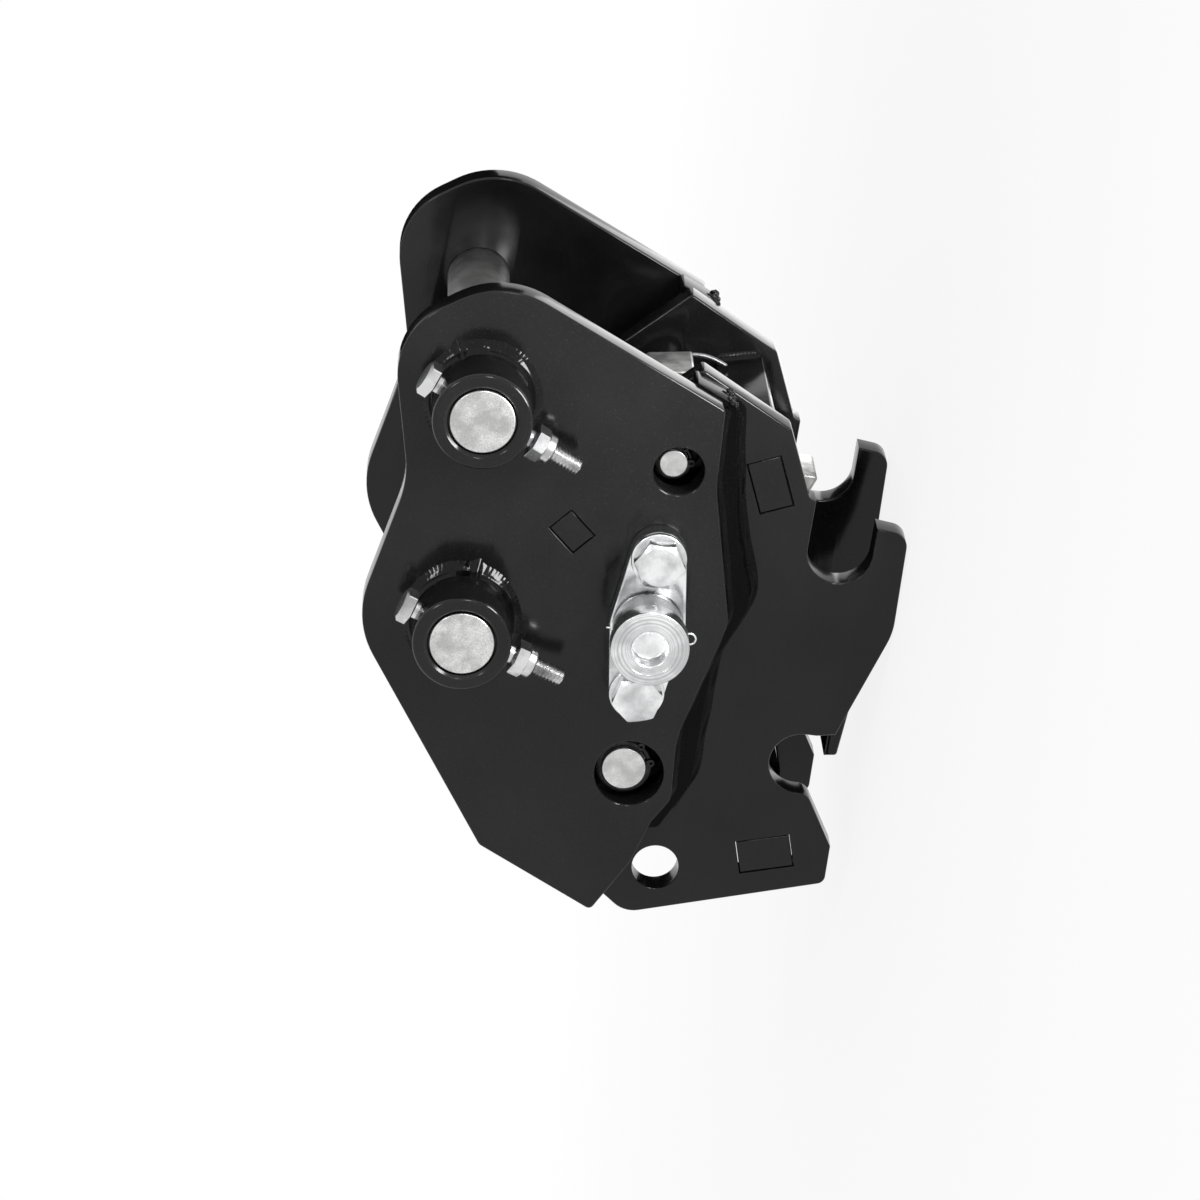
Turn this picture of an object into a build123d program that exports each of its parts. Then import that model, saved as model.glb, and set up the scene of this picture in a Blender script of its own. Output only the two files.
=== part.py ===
"""Semi-automatic quick coupler for a compact excavator, in millimetres.

The part frame has its origin on the stick pin's axis, midway between the side plates.
+X points to the front (the open front hook), +Z up (the hooks face down), and -Y to the near side,
where the release hub and the pin bolts are. A point written as (x, z) lies in the side view.
"""

import os
from math import atan2, cos, degrees, hypot, radians, sin

from build123d import *

# Plates and gaps across the coupler
STICK_GAP = 180.0
SIDE_PLATE_T = 16.0
SPACER_T = 20.0
HOOK_PLATE_T = 16.0
side_inner = STICK_GAP / 2
side_outer = side_inner + SIDE_PLATE_T
hook_outer = side_inner - SPACER_T
hook_inner = hook_outer - HOOK_PLATE_T

# Axes in the side view
STICK_PIN = (0.0, 0.0)
LINK_PIN = (-125.7, -6.9)
LOCK_PIVOT = (-26.5, -107.1)
LATCH_PIVOT = (-204.7, -107.6)
LOCK_ACCESS = (-26.8, -109.5)
LATCH_ACCESS = (-204.5, -110.2)
RELEASE = (-111.8, -105.5)
FRONT_HOOK = (-74.8, -207.5)
REAR_HOOK = (-201.8, -207.5)
LIFT_EYE = (-275.1, -137.3)

# Clearances
RUNNING = 0.05
LOOSE = 0.3
SIDE_PLAY = 0.5

# Carrier pins, their bosses and cross bolts
CARRIER_PIN_D = 35.0
BOSS_WALL = 9.0
NEAR_BOSS_H = 38.0
FAR_BOSS_H = 10.0
WELD_LEG = 6.0
PIN_CHAMFER = 1.5
MOUTH_CHAMFER = 1.6
BOSS_RIM_R = 3.0
EDGE_CHAMFER = 1.0
WELD_SLOPE = 42.0
CROSS_BOLT_D = 10.0
CROSS_BOLT_L = 90.0
CROSS_BOLT_AF = 17.0
CROSS_BOLT_HEAD = 6.4
CROSS_BOLT_STAND_OFF = 3.2
CROSS_NUT_STAND_OFF = 4.9
CROSS_NUT_H = 7.5
CROSS_NUT_COLLAR_D = 16.4
CROSS_NUT_COLLAR_H = 4.0
STICK_BOLT_ANGLE = -114.3
LINK_BOLT_ANGLE = -109.0
carrier_bore_r = CARRIER_PIN_D / 2 + RUNNING
boss_r = CARRIER_PIN_D / 2 + BOSS_WALL

# Bucket pins that the hooks take, and the lift eye
BUCKET_PIN_D = 35.0
HOOK_FREEDOM = 0.25
HOOK_MOUTH_L = 80.0
LIFT_EYE_D = 26.0
hook_r = BUCKET_PIN_D / 2 + HOOK_FREEDOM

# Pivot pins between the hook plates, and the access holes that show their ends
LOCK_PIN_D = 16.0
LOCK_PIN_END = 96.0
LATCH_PIN_D = 25.0
LATCH_PIN_END = 100.0
LOCK_ACCESS_D = 27.4
LATCH_ACCESS_D = 38.0
LOCK_BOSS_R = 10.7
LATCH_BOSS_R = 15.9
PIVOT_CHAMFER = 0.8
CIRCLIP_T = 1.2
CIRCLIP_GROOVE = 0.5
CIRCLIP_EDGE = 2.8
CIRCLIP_RIM = 0.5
CIRCLIP_LUG_R = 2.1
CIRCLIP_LUG_HOLE_R = 0.8
LOCK_LUGS = (-88.0, -31.0)
LATCH_LUGS = (-75.0, -31.0)
SHAFT_LUGS = (65.0, 115.0)

# Release shaft and its fittings
SHAFT_D = 25.0
FLANGE_T = 12.0
FLANGE_MIDDLE_R = 20.5
FLANGE_LOBE_R = 15.0
FLANGE_BOLT_OFFSET = 39.0
SPIGOT_D = 32.0
FLANGE_COLLAR_D = 35.0
FLANGE_COLLAR_H = 1.6
HUB_FACE = 151.0
HUB_L = 31.0
HUB_RIM_D = 42.0
HUB_RIM_T = 12.0
HUB_STEP = 2.0
SOCKET_D = 19.5
SOCKET_DEPTH = 15.0
SPLIT_PIN_D = 3.8
SPLIT_PIN_BACK = 22.0
SPLIT_EYE_R = 3.0
SPLIT_EYE_WIRE = 2.0
FLANGE_BOLT_D = 16.0
FLANGE_BOLT_AF = 24.0
FLANGE_BOLT_HEAD = 10.0
WASHER_D = 30.0
WASHER_T = 3.0
FAR_BUSH_WALL = 1.5
FAR_BUSH_LIP = 5.0
FAR_BUSH_FLANGE_T = 3.0
far_bush_r = SHAFT_D / 2 + FAR_BUSH_WALL
hub_body_r = HUB_RIM_D / 2 - HUB_STEP
flange_face = side_outer + FLANGE_T
washer_face = flange_face + WASHER_T
shaft_near_end = HUB_FACE - SOCKET_DEPTH - SIDE_PLAY

# Release cam against the latch tail: both turn by the same angle, the opposite way
RELEASE_TRAVEL = 30.0
CAM_TIP_R = 8.0
CAM_NECK_W = 10.0
CAM_W = 30.0
CAM_HUB_R = 22.5
CAM_HUB_W = 52.0
CAM_PIN_D = 6.0
CAM_TAIL_GAP = 0.7
TAIL_REACH = 51.0
TAIL_T = 17.0
TAIL_KNEE = 34.0
TAIL_ROOT = 22.0
TAIL_ROOT_DROP = 8.0
TAIL_SLOPE = 4.0
TAIL_EASE = 6.0
half_travel = radians(RELEASE_TRAVEL / 2)
cam_span = hypot(RELEASE[0] - LATCH_PIVOT[0], RELEASE[1] - LATCH_PIVOT[1])
cam_line = atan2(RELEASE[1] - LATCH_PIVOT[1], RELEASE[0] - LATCH_PIVOT[0])
cam_reach = cam_span / (2 * cos(half_travel))

# Latch hook and front lock
LATCH_W = 50.0
LATCH_EYE_R = 24.0
LATCH_SLEEVE_R = 19.0
PIN_POCKET_GAP = 0.9
POCKET_MOUTH_L = 60.0
LOCK_W = 33.0
LOCK_TUBE_R = 10.2

# Springs
LATCH_SPRING_WIRE = 4.0
LATCH_SPRING_R = 18.3
LATCH_SPRING_TURNS = 4
LOCK_SPRING_WIRE = 2.6
LOCK_SPRING_R = 12.2
LOCK_SPRING_TURNS = 6.5
LOCK_LEG_REACH = 16.0
LOCK_LEG_LAP = 5.5
LOCK_LEG_BEND = 5.0
COIL_GAP = 0.5
TANG_DEPTH = 6.0
TANG_SLIM = 0.15

# Small blind hole in each spacer bar's front end
END_HOLE_D = 3.5
END_HOLE_DEPTH = 8.0
END_HOLE_BACK = 7.0

# Cross bars with square tabs in the plates; a tab ends just below the plate's face
TAB_SINK = 0.8
NOSE_BAR = (-41.2, -163.6)
NOSE_BAR_SIZE = (29.3, 18.4)
NOSE_BAR_TURN = 23.25
REAR_BAR = (-259.0, -196.5)
REAR_BAR_SIZE = (29.8, 19.0)
REAR_BAR_TURN = -73.8
CENTRE_BAR = (-68.8, -58.5)
CENTRE_BAR_SIZE = (18.9, 15.0)
CENTRE_BAR_TURN = 49.0

# Outline corners, each as x, z and the radius that rounds it
SIDE_PLATE = [
    (-289.0, -101.6, 3), (-258.1, -35.4, 6), (-135.9, 50.1, 52), (-51.6, 32.3, 60),
    (30.1, 51.8, 42), (66.9, -2.5, 48), (10.6, -128.7, 3), (-33.8, -131.0, 80),
    (-109.8, -149.9, 18), (-180.9, -132.7, 60), (-216.8, -135.6, 12), (-231.3, -126.9, 8),
    (-257.8, -118.8, 20),
]
HOOK_PLATE = [
    (19.1, -117.4, 3), (-8.0, -169.8, 4), (-45.9, -186.0, 4), (-57.8, -223.5, 0),
    (-59.8, -243.0, 9), (-117.8, -244.5, 40), (-181.8, -223.5, 3), (-249.5, -232.1, 2),
    (-272.0, -232.5, 5), (-305.3, -124.5, 16), (-273.8, -81.5, 20), (-15.8, -81.5, 12),
]
REAR_MOUTH = [
    (-184.05, -207.5, 0), (-184.05, -213.5, 10), (-175.8, -251.5, 0), (-260.8, -251.5, 0),
    (-249.5, -232.1, 0), (-219.55, -214.0, 8), (-219.55, -207.5, 0),
]
SPACER = [
    (7.7, -135.5, 3), (-62.8, -148.0, 90), (-103.8, -162.0, 18), (-141.8, -146.5, 30),
    (-213.8, -146.5, 25), (-241.8, -132.5, 4), (-243.8, -117.5, 4), (-205.8, -117.5, 20),
    (-145.8, -119.5, 30), (-103.8, -135.5, 20), (-57.8, -121.5, 40), (-13.8, -114.5, 20),
    (18.5, -110.9, 2),
]
LATCH_BODY = [
    (-224.8, -107.5, 4), (-219.3, -191.5, 2), (-215.3, -222.5, 1), (-213.8, -233.0, 2),
    (-171.8, -236.5, 8), (-153.8, -215.5, 14), (-163.8, -161.5, 40), (-182.8, -107.5, 6),
]
LOCK_BODY = [
    (-4.8, -93.0, 3), (-0.8, -118.5, 1.5), (-17.8, -122.5, 8), (-28.8, -140.5, 12),
    (-32.8, -148.8, 3), (-59.3, -160.2, 2), (-52.0, -179.5, 5), (-52.3, -196.3, 2),
    (-67.8, -190.3, 6), (-81.8, -177.5, 5), (-77.8, -151.5, 20), (-49.8, -99.5, 8),
    (-41.8, -93.0, 6),
]
SHELF = [
    (-17.2, -136.3, 1), (-11.2, -161.9, 1), (-15.4, -164.6, 1), (-17.6, -165.2, 1),
    (-24.0, -137.9, 1),
]


def side(y):
    """The side view's plane at a given y, whose normal points to the near side."""
    return Plane(origin=(0, y, 0), x_dir=(1, 0, 0), z_dir=(0, -1, 0))


def rounded_face(corners):
    """A closed face from corners written as (x, z, rounding radius)."""
    with BuildSketch() as face:
        with BuildLine():
            FilletPolyline(
                *[(x, z) for x, z, _ in corners], radius=[r for _, _, r in corners], close=True
            )
        make_face()
    return face.sketch


def bar_face(centre, size, turn, grow=0.0):
    """A cross bar's rectangular section, grown by a clearance for the hole that takes it."""
    with BuildSketch() as face:
        with Locations(centre):
            Rectangle(size[0] + 2 * grow, size[1] + 2 * grow, rotation=turn)
    return face.sketch


def polar(centre, radius, angle):
    """The point at a radius and an angle, in radians, round a centre in the side view."""
    return (centre[0] + radius * cos(angle), centre[1] + radius * sin(angle))


def over_shelf(distance, height):
    """A point at a distance along the shelf's top face from its rear edge, and a height over it."""
    (x0, z0, _), (x1, z1, _) = SHELF[0], SHELF[1]
    run = hypot(x1 - x0, z1 - z0)
    ux, uz = (x1 - x0) / run, (z1 - z0) / run
    return (x0 + distance * ux - height * uz, z0 + distance * uz + height * ux)


def keep(part, node):
    """Label a finished piece and write it under its node's name."""
    part.label = node
    export_step(part, f"parts/{node}.step")


def ring(y_top, length, outer_r, inner_r, centre):
    """A plain tube along Y, from y_top towards the near side."""
    with BuildPart() as tube:
        with BuildSketch(side(y_top)):
            with Locations(centre):
                Circle(outer_r)
                Circle(inner_r, mode=Mode.SUBTRACT)
        extrude(amount=length)
    return tube


def make_side_plate(node, y_top, near):
    """Outer plate with the carrier pin bores, two access holes and the centre bar's slot."""
    with BuildPart() as plate:
        with BuildSketch(side(y_top)):
            add(rounded_face(SIDE_PLATE))
            with Locations(STICK_PIN, LINK_PIN):
                Circle(carrier_bore_r, mode=Mode.SUBTRACT)
            with Locations(LOCK_ACCESS):
                Circle(LOCK_ACCESS_D / 2, mode=Mode.SUBTRACT)
            with Locations(LATCH_ACCESS):
                Circle(LATCH_ACCESS_D / 2, mode=Mode.SUBTRACT)
            add(bar_face(CENTRE_BAR, CENTRE_BAR_SIZE, CENTRE_BAR_TURN, LOOSE), mode=Mode.SUBTRACT)
            if near:
                with Locations(RELEASE):
                    Circle(SPIGOT_D / 2 + RUNNING, mode=Mode.SUBTRACT)
                with Locations(*flange_bolt_centres()):
                    Circle(FLANGE_BOLT_D / 2 + RUNNING, mode=Mode.SUBTRACT)
        extrude(amount=SIDE_PLATE_T)
    keep(plate.part, node)


def make_hook_plate(node, y_top):
    """Inner plate with the forward-facing front hook, the downward rear hook and the lift eye."""
    near = y_top < 0
    with BuildPart() as plate:
        with BuildSketch(side(y_top)):
            add(rounded_face(HOOK_PLATE))
            with Locations(FRONT_HOOK, REAR_HOOK):
                Circle(hook_r, mode=Mode.SUBTRACT)
            with Locations(FRONT_HOOK):
                Rectangle(HOOK_MOUTH_L, 2 * hook_r, align=(Align.MIN, Align.CENTER), mode=Mode.SUBTRACT)
            add(rounded_face(REAR_MOUTH), mode=Mode.SUBTRACT)
            with Locations(LIFT_EYE):
                Circle(LIFT_EYE_D / 2, mode=Mode.SUBTRACT)
            with Locations(LOCK_PIVOT):
                Circle(LOCK_PIN_D / 2 + RUNNING, mode=Mode.SUBTRACT)
            with Locations(LATCH_PIVOT):
                Circle(LATCH_PIN_D / 2 + RUNNING, mode=Mode.SUBTRACT)
            with Locations(RELEASE):
                Circle(far_bush_r + RUNNING, mode=Mode.SUBTRACT)
            add(bar_face(NOSE_BAR, NOSE_BAR_SIZE, NOSE_BAR_TURN, LOOSE), mode=Mode.SUBTRACT)
            add(bar_face(REAR_BAR, REAR_BAR_SIZE, REAR_BAR_TURN, LOOSE), mode=Mode.SUBTRACT)
            if not near:
                with Locations(far_tang_centre()):
                    Circle(LATCH_SPRING_WIRE / 2 + LOOSE, mode=Mode.SUBTRACT)
        extrude(amount=HOOK_PLATE_T)
    keep(plate.part, node)


def make_spacer_bar(node, y_top):
    """Curved bar between a side plate and a hook plate, following the side plate's lower edge."""
    with BuildPart() as bar:
        with BuildSketch(side(y_top)):
            add(rounded_face(SPACER))
            with Locations(LOCK_ACCESS):
                Circle(LOCK_ACCESS_D / 2, mode=Mode.SUBTRACT)
            with Locations(LATCH_ACCESS):
                Circle(LATCH_ACCESS_D / 2, mode=Mode.SUBTRACT)
        extrude(amount=SPACER_T)
        with BuildSketch(end_hole_plane(y_top - SPACER_T / 2)):
            Circle(END_HOLE_D / 2)
        extrude(amount=-END_HOLE_DEPTH, mode=Mode.SUBTRACT)
    keep(bar.part, node)


def end_hole_plane(y):
    """A plane on the spacer bar's front end, facing out, at its small hole."""
    (x0, z0, _), (x1, z1, _) = SPACER[0], SPACER[-1]
    run = hypot(x1 - x0, z1 - z0)
    ux, uz = (x1 - x0) / run, (z1 - z0) / run
    origin = (x0 + END_HOLE_BACK * ux, y, z0 + END_HOLE_BACK * uz)
    return Plane(origin=origin, x_dir=(0, 1, 0), z_dir=(uz, 0, -ux))


def make_cross_bar(node, centre, size, turn, half_length):
    """Square-ended bar whose tabs sit in the slots of a pair of plates."""
    with BuildPart() as bar:
        with BuildSketch(side(half_length - TAB_SINK)):
            add(bar_face(centre, size, turn))
        extrude(amount=2 * (half_length - TAB_SINK))
    keep(bar.part, node)


def cross_bolt_plane(pin_centre, angle):
    """A plane on the cross bolt's axis at the pin's centre, facing the nut."""
    direction = (cos(radians(angle)), 0, sin(radians(angle)))
    y = -(side_outer + NEAR_BOSS_H / 2)
    return Plane(origin=(pin_centre[0], y, pin_centre[1]), x_dir=(0, 1, 0), z_dir=direction)


def make_boss(node, pin_centre, near, bolt_plane):
    """Turned boss that carries a pin outside its side plate."""
    height = NEAR_BOSS_H if near else FAR_BOSS_H
    y_top = -side_outer if near else side_outer + height
    outer_y = y_top - height if near else y_top
    with BuildPart() as boss:
        with BuildSketch(side(y_top)):
            with Locations(pin_centre):
                Circle(boss_r)
                Circle(carrier_bore_r, mode=Mode.SUBTRACT)
        extrude(amount=height)
        mouth = boss.edges().filter_by(GeomType.CIRCLE).filter_by(
            lambda edge: abs(edge.center().Y - outer_y) < 0.01
        )
        chamfer(mouth.sort_by(SortBy.RADIUS)[0], MOUTH_CHAMFER)
        fillet(mouth.sort_by(SortBy.RADIUS)[-1], BOSS_RIM_R)
        if near:
            with BuildSketch(bolt_plane):
                Circle(CROSS_BOLT_D / 2 + LOOSE)
            extrude(amount=boss_r + 1, both=True, mode=Mode.SUBTRACT)
    keep(boss.part, node)


def make_boss_welds():
    """Fillet weld rings round all four bosses, as one group."""
    with BuildPart() as welds:
        for centre in (STICK_PIN, LINK_PIN):
            for y, away in ((-side_outer, 1), (side_outer, -1)):
                with BuildSketch(side(y)):
                    with Locations(centre):
                        Circle(boss_r + WELD_LEG)
                extrude(amount=away * (WELD_LEG - LOOSE), taper=WELD_SLOPE)
                with BuildSketch(side(y)):
                    with Locations(centre):
                        Circle(boss_r)
                extrude(amount=away * WELD_LEG, mode=Mode.SUBTRACT)
    keep(welds.part, "boss_welds")


def make_carrier_pin(node, pin_centre, bolt_plane):
    """Full-length hardened pin with a cross hole for its bolt."""
    near_end = side_outer + NEAR_BOSS_H
    far_end = side_outer + FAR_BOSS_H
    with BuildPart() as pin:
        with BuildSketch(side(far_end)):
            with Locations(pin_centre):
                Circle(CARRIER_PIN_D / 2)
        extrude(amount=far_end + near_end)
        chamfer(pin.edges().filter_by(GeomType.CIRCLE), PIN_CHAMFER)
        with BuildSketch(bolt_plane):
            Circle(CROSS_BOLT_D / 2 + LOOSE)
        extrude(amount=CARRIER_PIN_D, both=True, mode=Mode.SUBTRACT)
    keep(pin.part, node)


def make_cross_bolt(node, bolt_plane):
    """Hexagon bolt through a boss and its pin."""
    head_face = boss_r + CROSS_BOLT_STAND_OFF
    with BuildPart() as bolt:
        with BuildSketch(bolt_plane.offset(-head_face)):
            RegularPolygon(CROSS_BOLT_AF / 2, 6, major_radius=False)
        extrude(amount=-CROSS_BOLT_HEAD)
        with BuildSketch(bolt_plane.offset(-head_face)):
            Circle(CROSS_BOLT_D / 2)
        extrude(amount=CROSS_BOLT_L)
        tip = bolt.faces().sort_by(Axis((0, 0, 0), tuple(bolt_plane.z_dir)))[-1]
        chamfer(tip.edges(), EDGE_CHAMFER)
    keep(bolt.part, node)


def make_cross_nuts(planes):
    """Lock nuts on the cross bolts, each a hexagon with a round collar, as one group."""
    with BuildPart() as nuts:
        for plane in planes:
            seat = plane.offset(boss_r + CROSS_NUT_STAND_OFF)
            with BuildSketch(seat):
                RegularPolygon(CROSS_BOLT_AF / 2, 6, major_radius=False)
                Circle(CROSS_BOLT_D / 2 + RUNNING, mode=Mode.SUBTRACT)
            extrude(amount=CROSS_NUT_H)
            with BuildSketch(seat.offset(CROSS_NUT_H)):
                Circle(CROSS_NUT_COLLAR_D / 2)
                Circle(CROSS_BOLT_D / 2 + RUNNING, mode=Mode.SUBTRACT)
            extrude(amount=CROSS_NUT_COLLAR_H)
    keep(nuts.part, "cross_bolt_nuts")


def make_nose_shelf():
    """Thick shelf between the hook plates, ahead of the nose bar, with a bevelled front edge."""
    with BuildPart() as shelf:
        with BuildSketch(side(hook_inner)):
            add(rounded_face(SHELF))
        extrude(amount=2 * hook_inner)
    keep(shelf.part, "nose_shelf")


def pivot_boss_length(pin_end):
    """How far a pivot pin's boss stands out of its hook plate, short of the circlip."""
    return pin_end - CIRCLIP_EDGE - CIRCLIP_T - LOOSE - hook_outer


def make_pivot(prefix, centre, pin_d, pin_end, outer_r, lug_angles):
    """A pivot pin, the two bosses that it runs out through and the circlips that hold it."""
    groove_y = pin_end - CIRCLIP_EDGE
    groove_w = CIRCLIP_T + LOOSE / 3
    with BuildPart() as pin:
        with BuildSketch(side(pin_end)):
            with Locations(centre):
                Circle(pin_d / 2)
        extrude(amount=2 * pin_end)
        chamfer(pin.edges().filter_by(GeomType.CIRCLE), PIVOT_CHAMFER)
        for y in (groove_y, -groove_y + groove_w):
            with BuildSketch(side(y)):
                with Locations(centre):
                    Circle(pin_d / 2 + 1)
                    Circle(pin_d / 2 - CIRCLIP_GROOVE, mode=Mode.SUBTRACT)
            extrude(amount=groove_w, mode=Mode.SUBTRACT)
    keep(pin.part, f"{prefix}_pin")

    reach = pivot_boss_length(pin_end)
    for name, y_top in (("near", -hook_outer), ("far", hook_outer + reach)):
        tube = ring(y_top, reach, outer_r, pin_d / 2 + RUNNING, centre)
        keep(tube.part, f"{name}_{prefix}_boss")

    with BuildPart() as circlips:
        for y in (groove_y - LOOSE / 6, -groove_y + groove_w - LOOSE / 6):
            with BuildSketch(side(y)):
                add(circlip_face(centre, pin_d, lug_angles))
            extrude(amount=CIRCLIP_T)
    keep(circlips.part, f"{prefix}_pin_circlips")


def circlip_face(centre, shaft_d, lug_angles):
    """An external circlip: an open ring with a drilled lug at each side of its gap."""
    inner = shaft_d / 2 - CIRCLIP_GROOVE + LOOSE / 6
    outer = inner + 0.1 * shaft_d + CIRCLIP_RIM
    half_lug = degrees(CIRCLIP_LUG_R / outer)
    first, second = lug_angles[0] + half_lug, lug_angles[1] - half_lug
    middle = (first + second) / 2
    lugs = [polar(centre, outer, radians(angle)) for angle in lug_angles]
    with BuildSketch() as face:
        with Locations(centre):
            Circle(outer)
        with Locations(*lugs):
            Circle(CIRCLIP_LUG_R)
        with BuildLine():
            Polyline(
                centre, polar(centre, 2 * outer, radians(first)),
                polar(centre, 2 * outer, radians(middle)), polar(centre, 2 * outer, radians(second)),
                close=True,
            )
        make_face(mode=Mode.SUBTRACT)
        with Locations(centre):
            Circle(inner, mode=Mode.SUBTRACT)
        with Locations(*lugs):
            Circle(CIRCLIP_LUG_HOLE_R, mode=Mode.SUBTRACT)
    return face.sketch


def tail_angle():
    """The latch tail's resting direction, half the travel below the line to the release shaft."""
    return cam_line - half_travel


def cam_angle():
    """The cam arm's resting direction, half the travel below the line to the latch pivot."""
    return cam_line + radians(180) + half_travel


def make_latch_hook():
    """Rear latch: an eye on its pin, a hook round the bucket pin and a tail over the cam."""
    pocket_r = BUCKET_PIN_D / 2 + PIN_POCKET_GAP
    tail = tail_angle()
    up = (-sin(tail), cos(tail))
    low = CAM_TIP_R + CAM_TAIL_GAP

    def tail_point(reach, height):
        base = polar(LATCH_PIVOT, reach, tail)
        return (base[0] + height * up[0], base[1] + height * up[1])

    tail_corners = [
        (*tail_point(0, low - TAIL_ROOT_DROP), 0),
        (*tail_point(TAIL_ROOT, low - TAIL_ROOT_DROP), TAIL_EASE),
        (*tail_point(TAIL_KNEE, low), TAIL_EASE), (*tail_point(TAIL_REACH, low), TAIL_EASE / 2),
        (*tail_point(TAIL_REACH - TAIL_SLOPE, low + TAIL_T), 5),
        (*tail_point(0, LATCH_EYE_R - 1), 0),
    ]
    with BuildPart() as latch:
        with BuildSketch(side(LATCH_W / 2)):
            add(rounded_face(LATCH_BODY))
            add(rounded_face(tail_corners))
            with Locations(LATCH_PIVOT):
                Circle(LATCH_EYE_R)
            with Locations(REAR_HOOK):
                Circle(pocket_r, mode=Mode.SUBTRACT)
                Rectangle(
                    POCKET_MOUTH_L, 2 * pocket_r, align=(Align.MAX, Align.CENTER), mode=Mode.SUBTRACT
                )
        extrude(amount=LATCH_W)
        with BuildSketch(side(hook_inner - SIDE_PLAY)):
            with Locations(LATCH_PIVOT):
                Circle(LATCH_SLEEVE_R)
        extrude(amount=2 * (hook_inner - SIDE_PLAY))
        with BuildSketch(side(hook_inner)):
            with Locations(LATCH_PIVOT):
                Circle(LATCH_PIN_D / 2 + RUNNING)
        extrude(amount=2 * hook_inner, mode=Mode.SUBTRACT)
    keep(latch.part, "latch_hook")


def lock_tang_centre():
    """Where the lock spring's inner end enters the front lock."""
    return polar(LOCK_PIVOT, LOCK_SPRING_R, radians(90))


def make_front_lock():
    """Front lock: a block on its pin with a nose that hangs in front of the bucket pin."""
    with BuildPart() as lock:
        with BuildSketch(side(LOCK_W / 2)):
            add(rounded_face(LOCK_BODY))
            with Locations(LOCK_PIVOT):
                Circle(LOCK_PIN_D / 2 + RUNNING, mode=Mode.SUBTRACT)
        extrude(amount=LOCK_W)
        with BuildSketch(side(LOCK_W / 2 + 1)):
            with Locations(lock_tang_centre()):
                Circle(LOCK_SPRING_WIRE / 2 + LOOSE)
        extrude(amount=TANG_DEPTH + 2, mode=Mode.SUBTRACT)
    keep(lock.part, "front_lock")


def make_lock_sleeves():
    """Spacer sleeves that centre the front lock on its pin, as one group."""
    length = hook_inner - LOCK_W / 2 - 2 * LOOSE
    with BuildPart() as sleeves:
        for y_top in (hook_inner - LOOSE, -LOCK_W / 2 - LOOSE):
            with BuildSketch(side(y_top)):
                with Locations(LOCK_PIVOT):
                    Circle(LOCK_TUBE_R)
                    Circle(LOCK_PIN_D / 2 + RUNNING, mode=Mode.SUBTRACT)
            extrude(amount=length)
    keep(sleeves.part, "lock_sleeves")


def coil(centre, y_start, radius, wire_d, turns, left_hand):
    """A close-wound coil round an axis along Y from its near end, and the coil's length."""
    pitch = wire_d + COIL_GAP
    with BuildPart() as body:
        with BuildLine() as path:
            Helix(
                pitch=pitch,
                height=pitch * turns,
                radius=radius,
                center=(centre[0], y_start, centre[1]),
                direction=(0, 1, 0),
                lefthand=left_hand,
            )
        with BuildSketch(Plane(path.line @ 0, z_dir=path.line % 0)):
            Circle(wire_d / 2)
        sweep(is_frenet=True)
    return body.part, pitch * turns


def tang_r(wire_d):
    """A tang's radius, a little under the coiled wire's."""
    return wire_d / 2 - TANG_SLIM


def far_tang_centre():
    """Where the latch spring's fixed end enters the far hook plate."""
    return polar(RELEASE, LATCH_SPRING_R, radians(90))


def latch_spring_start():
    """The coil's near end, just clear of the cam's hub."""
    return CAM_HUB_W / 2 + LATCH_SPRING_WIRE / 2 + LOOSE


def make_latch_spring():
    """Torsion spring round the release shaft, with a straight tang at each end."""
    start = latch_spring_start()
    body, height = coil(RELEASE, start, LATCH_SPRING_R, LATCH_SPRING_WIRE, LATCH_SPRING_TURNS, False)
    with BuildPart() as spring:
        add(body)
        with BuildSketch(side(start + LATCH_SPRING_WIRE / 2)):
            with Locations(far_tang_centre()):
                Circle(tang_r(LATCH_SPRING_WIRE))
        extrude(amount=TANG_DEPTH + LATCH_SPRING_WIRE / 2)
        with BuildSketch(side(hook_inner + TANG_DEPTH)):
            with Locations(far_tang_centre()):
                Circle(tang_r(LATCH_SPRING_WIRE))
        extrude(amount=hook_inner + TANG_DEPTH - start - height + LATCH_SPRING_WIRE / 2)
    keep(spring.part, "latch_spring")


def make_lock_spring():
    """Torsion spring beside the front lock, one end in the lock, one hooked over the shelf."""
    start = LOCK_W / 2 + LOCK_SPRING_WIRE / 2 + LOOSE
    body, height = coil(
        LOCK_PIVOT, start, LOCK_SPRING_R, LOCK_SPRING_WIRE, LOCK_SPRING_TURNS, True
    )
    leg_y = start + height
    leg_z = LOCK_PIVOT[1] - LOCK_SPRING_R
    tip = over_shelf(LOCK_LEG_LAP, LOCK_SPRING_WIRE / 2 + LOOSE)
    with BuildPart() as spring:
        add(body)
        with BuildSketch(side(start + LOCK_SPRING_WIRE / 2)):
            with Locations(lock_tang_centre()):
                Circle(tang_r(LOCK_SPRING_WIRE))
        extrude(amount=TANG_DEPTH + LOCK_SPRING_WIRE / 2)
        with BuildLine() as leg:
            FilletPolyline(
                (LOCK_PIVOT[0], leg_y, leg_z), (LOCK_PIVOT[0] + LOCK_LEG_REACH, leg_y, leg_z),
                (tip[0], leg_y, tip[1]),
                radius=LOCK_LEG_BEND,
            )
        with BuildSketch(Plane(leg.line @ 0, z_dir=leg.line % 0)):
            Circle(tang_r(LOCK_SPRING_WIRE))
        sweep(path=leg.line)
    keep(spring.part, "lock_spring")


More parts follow.
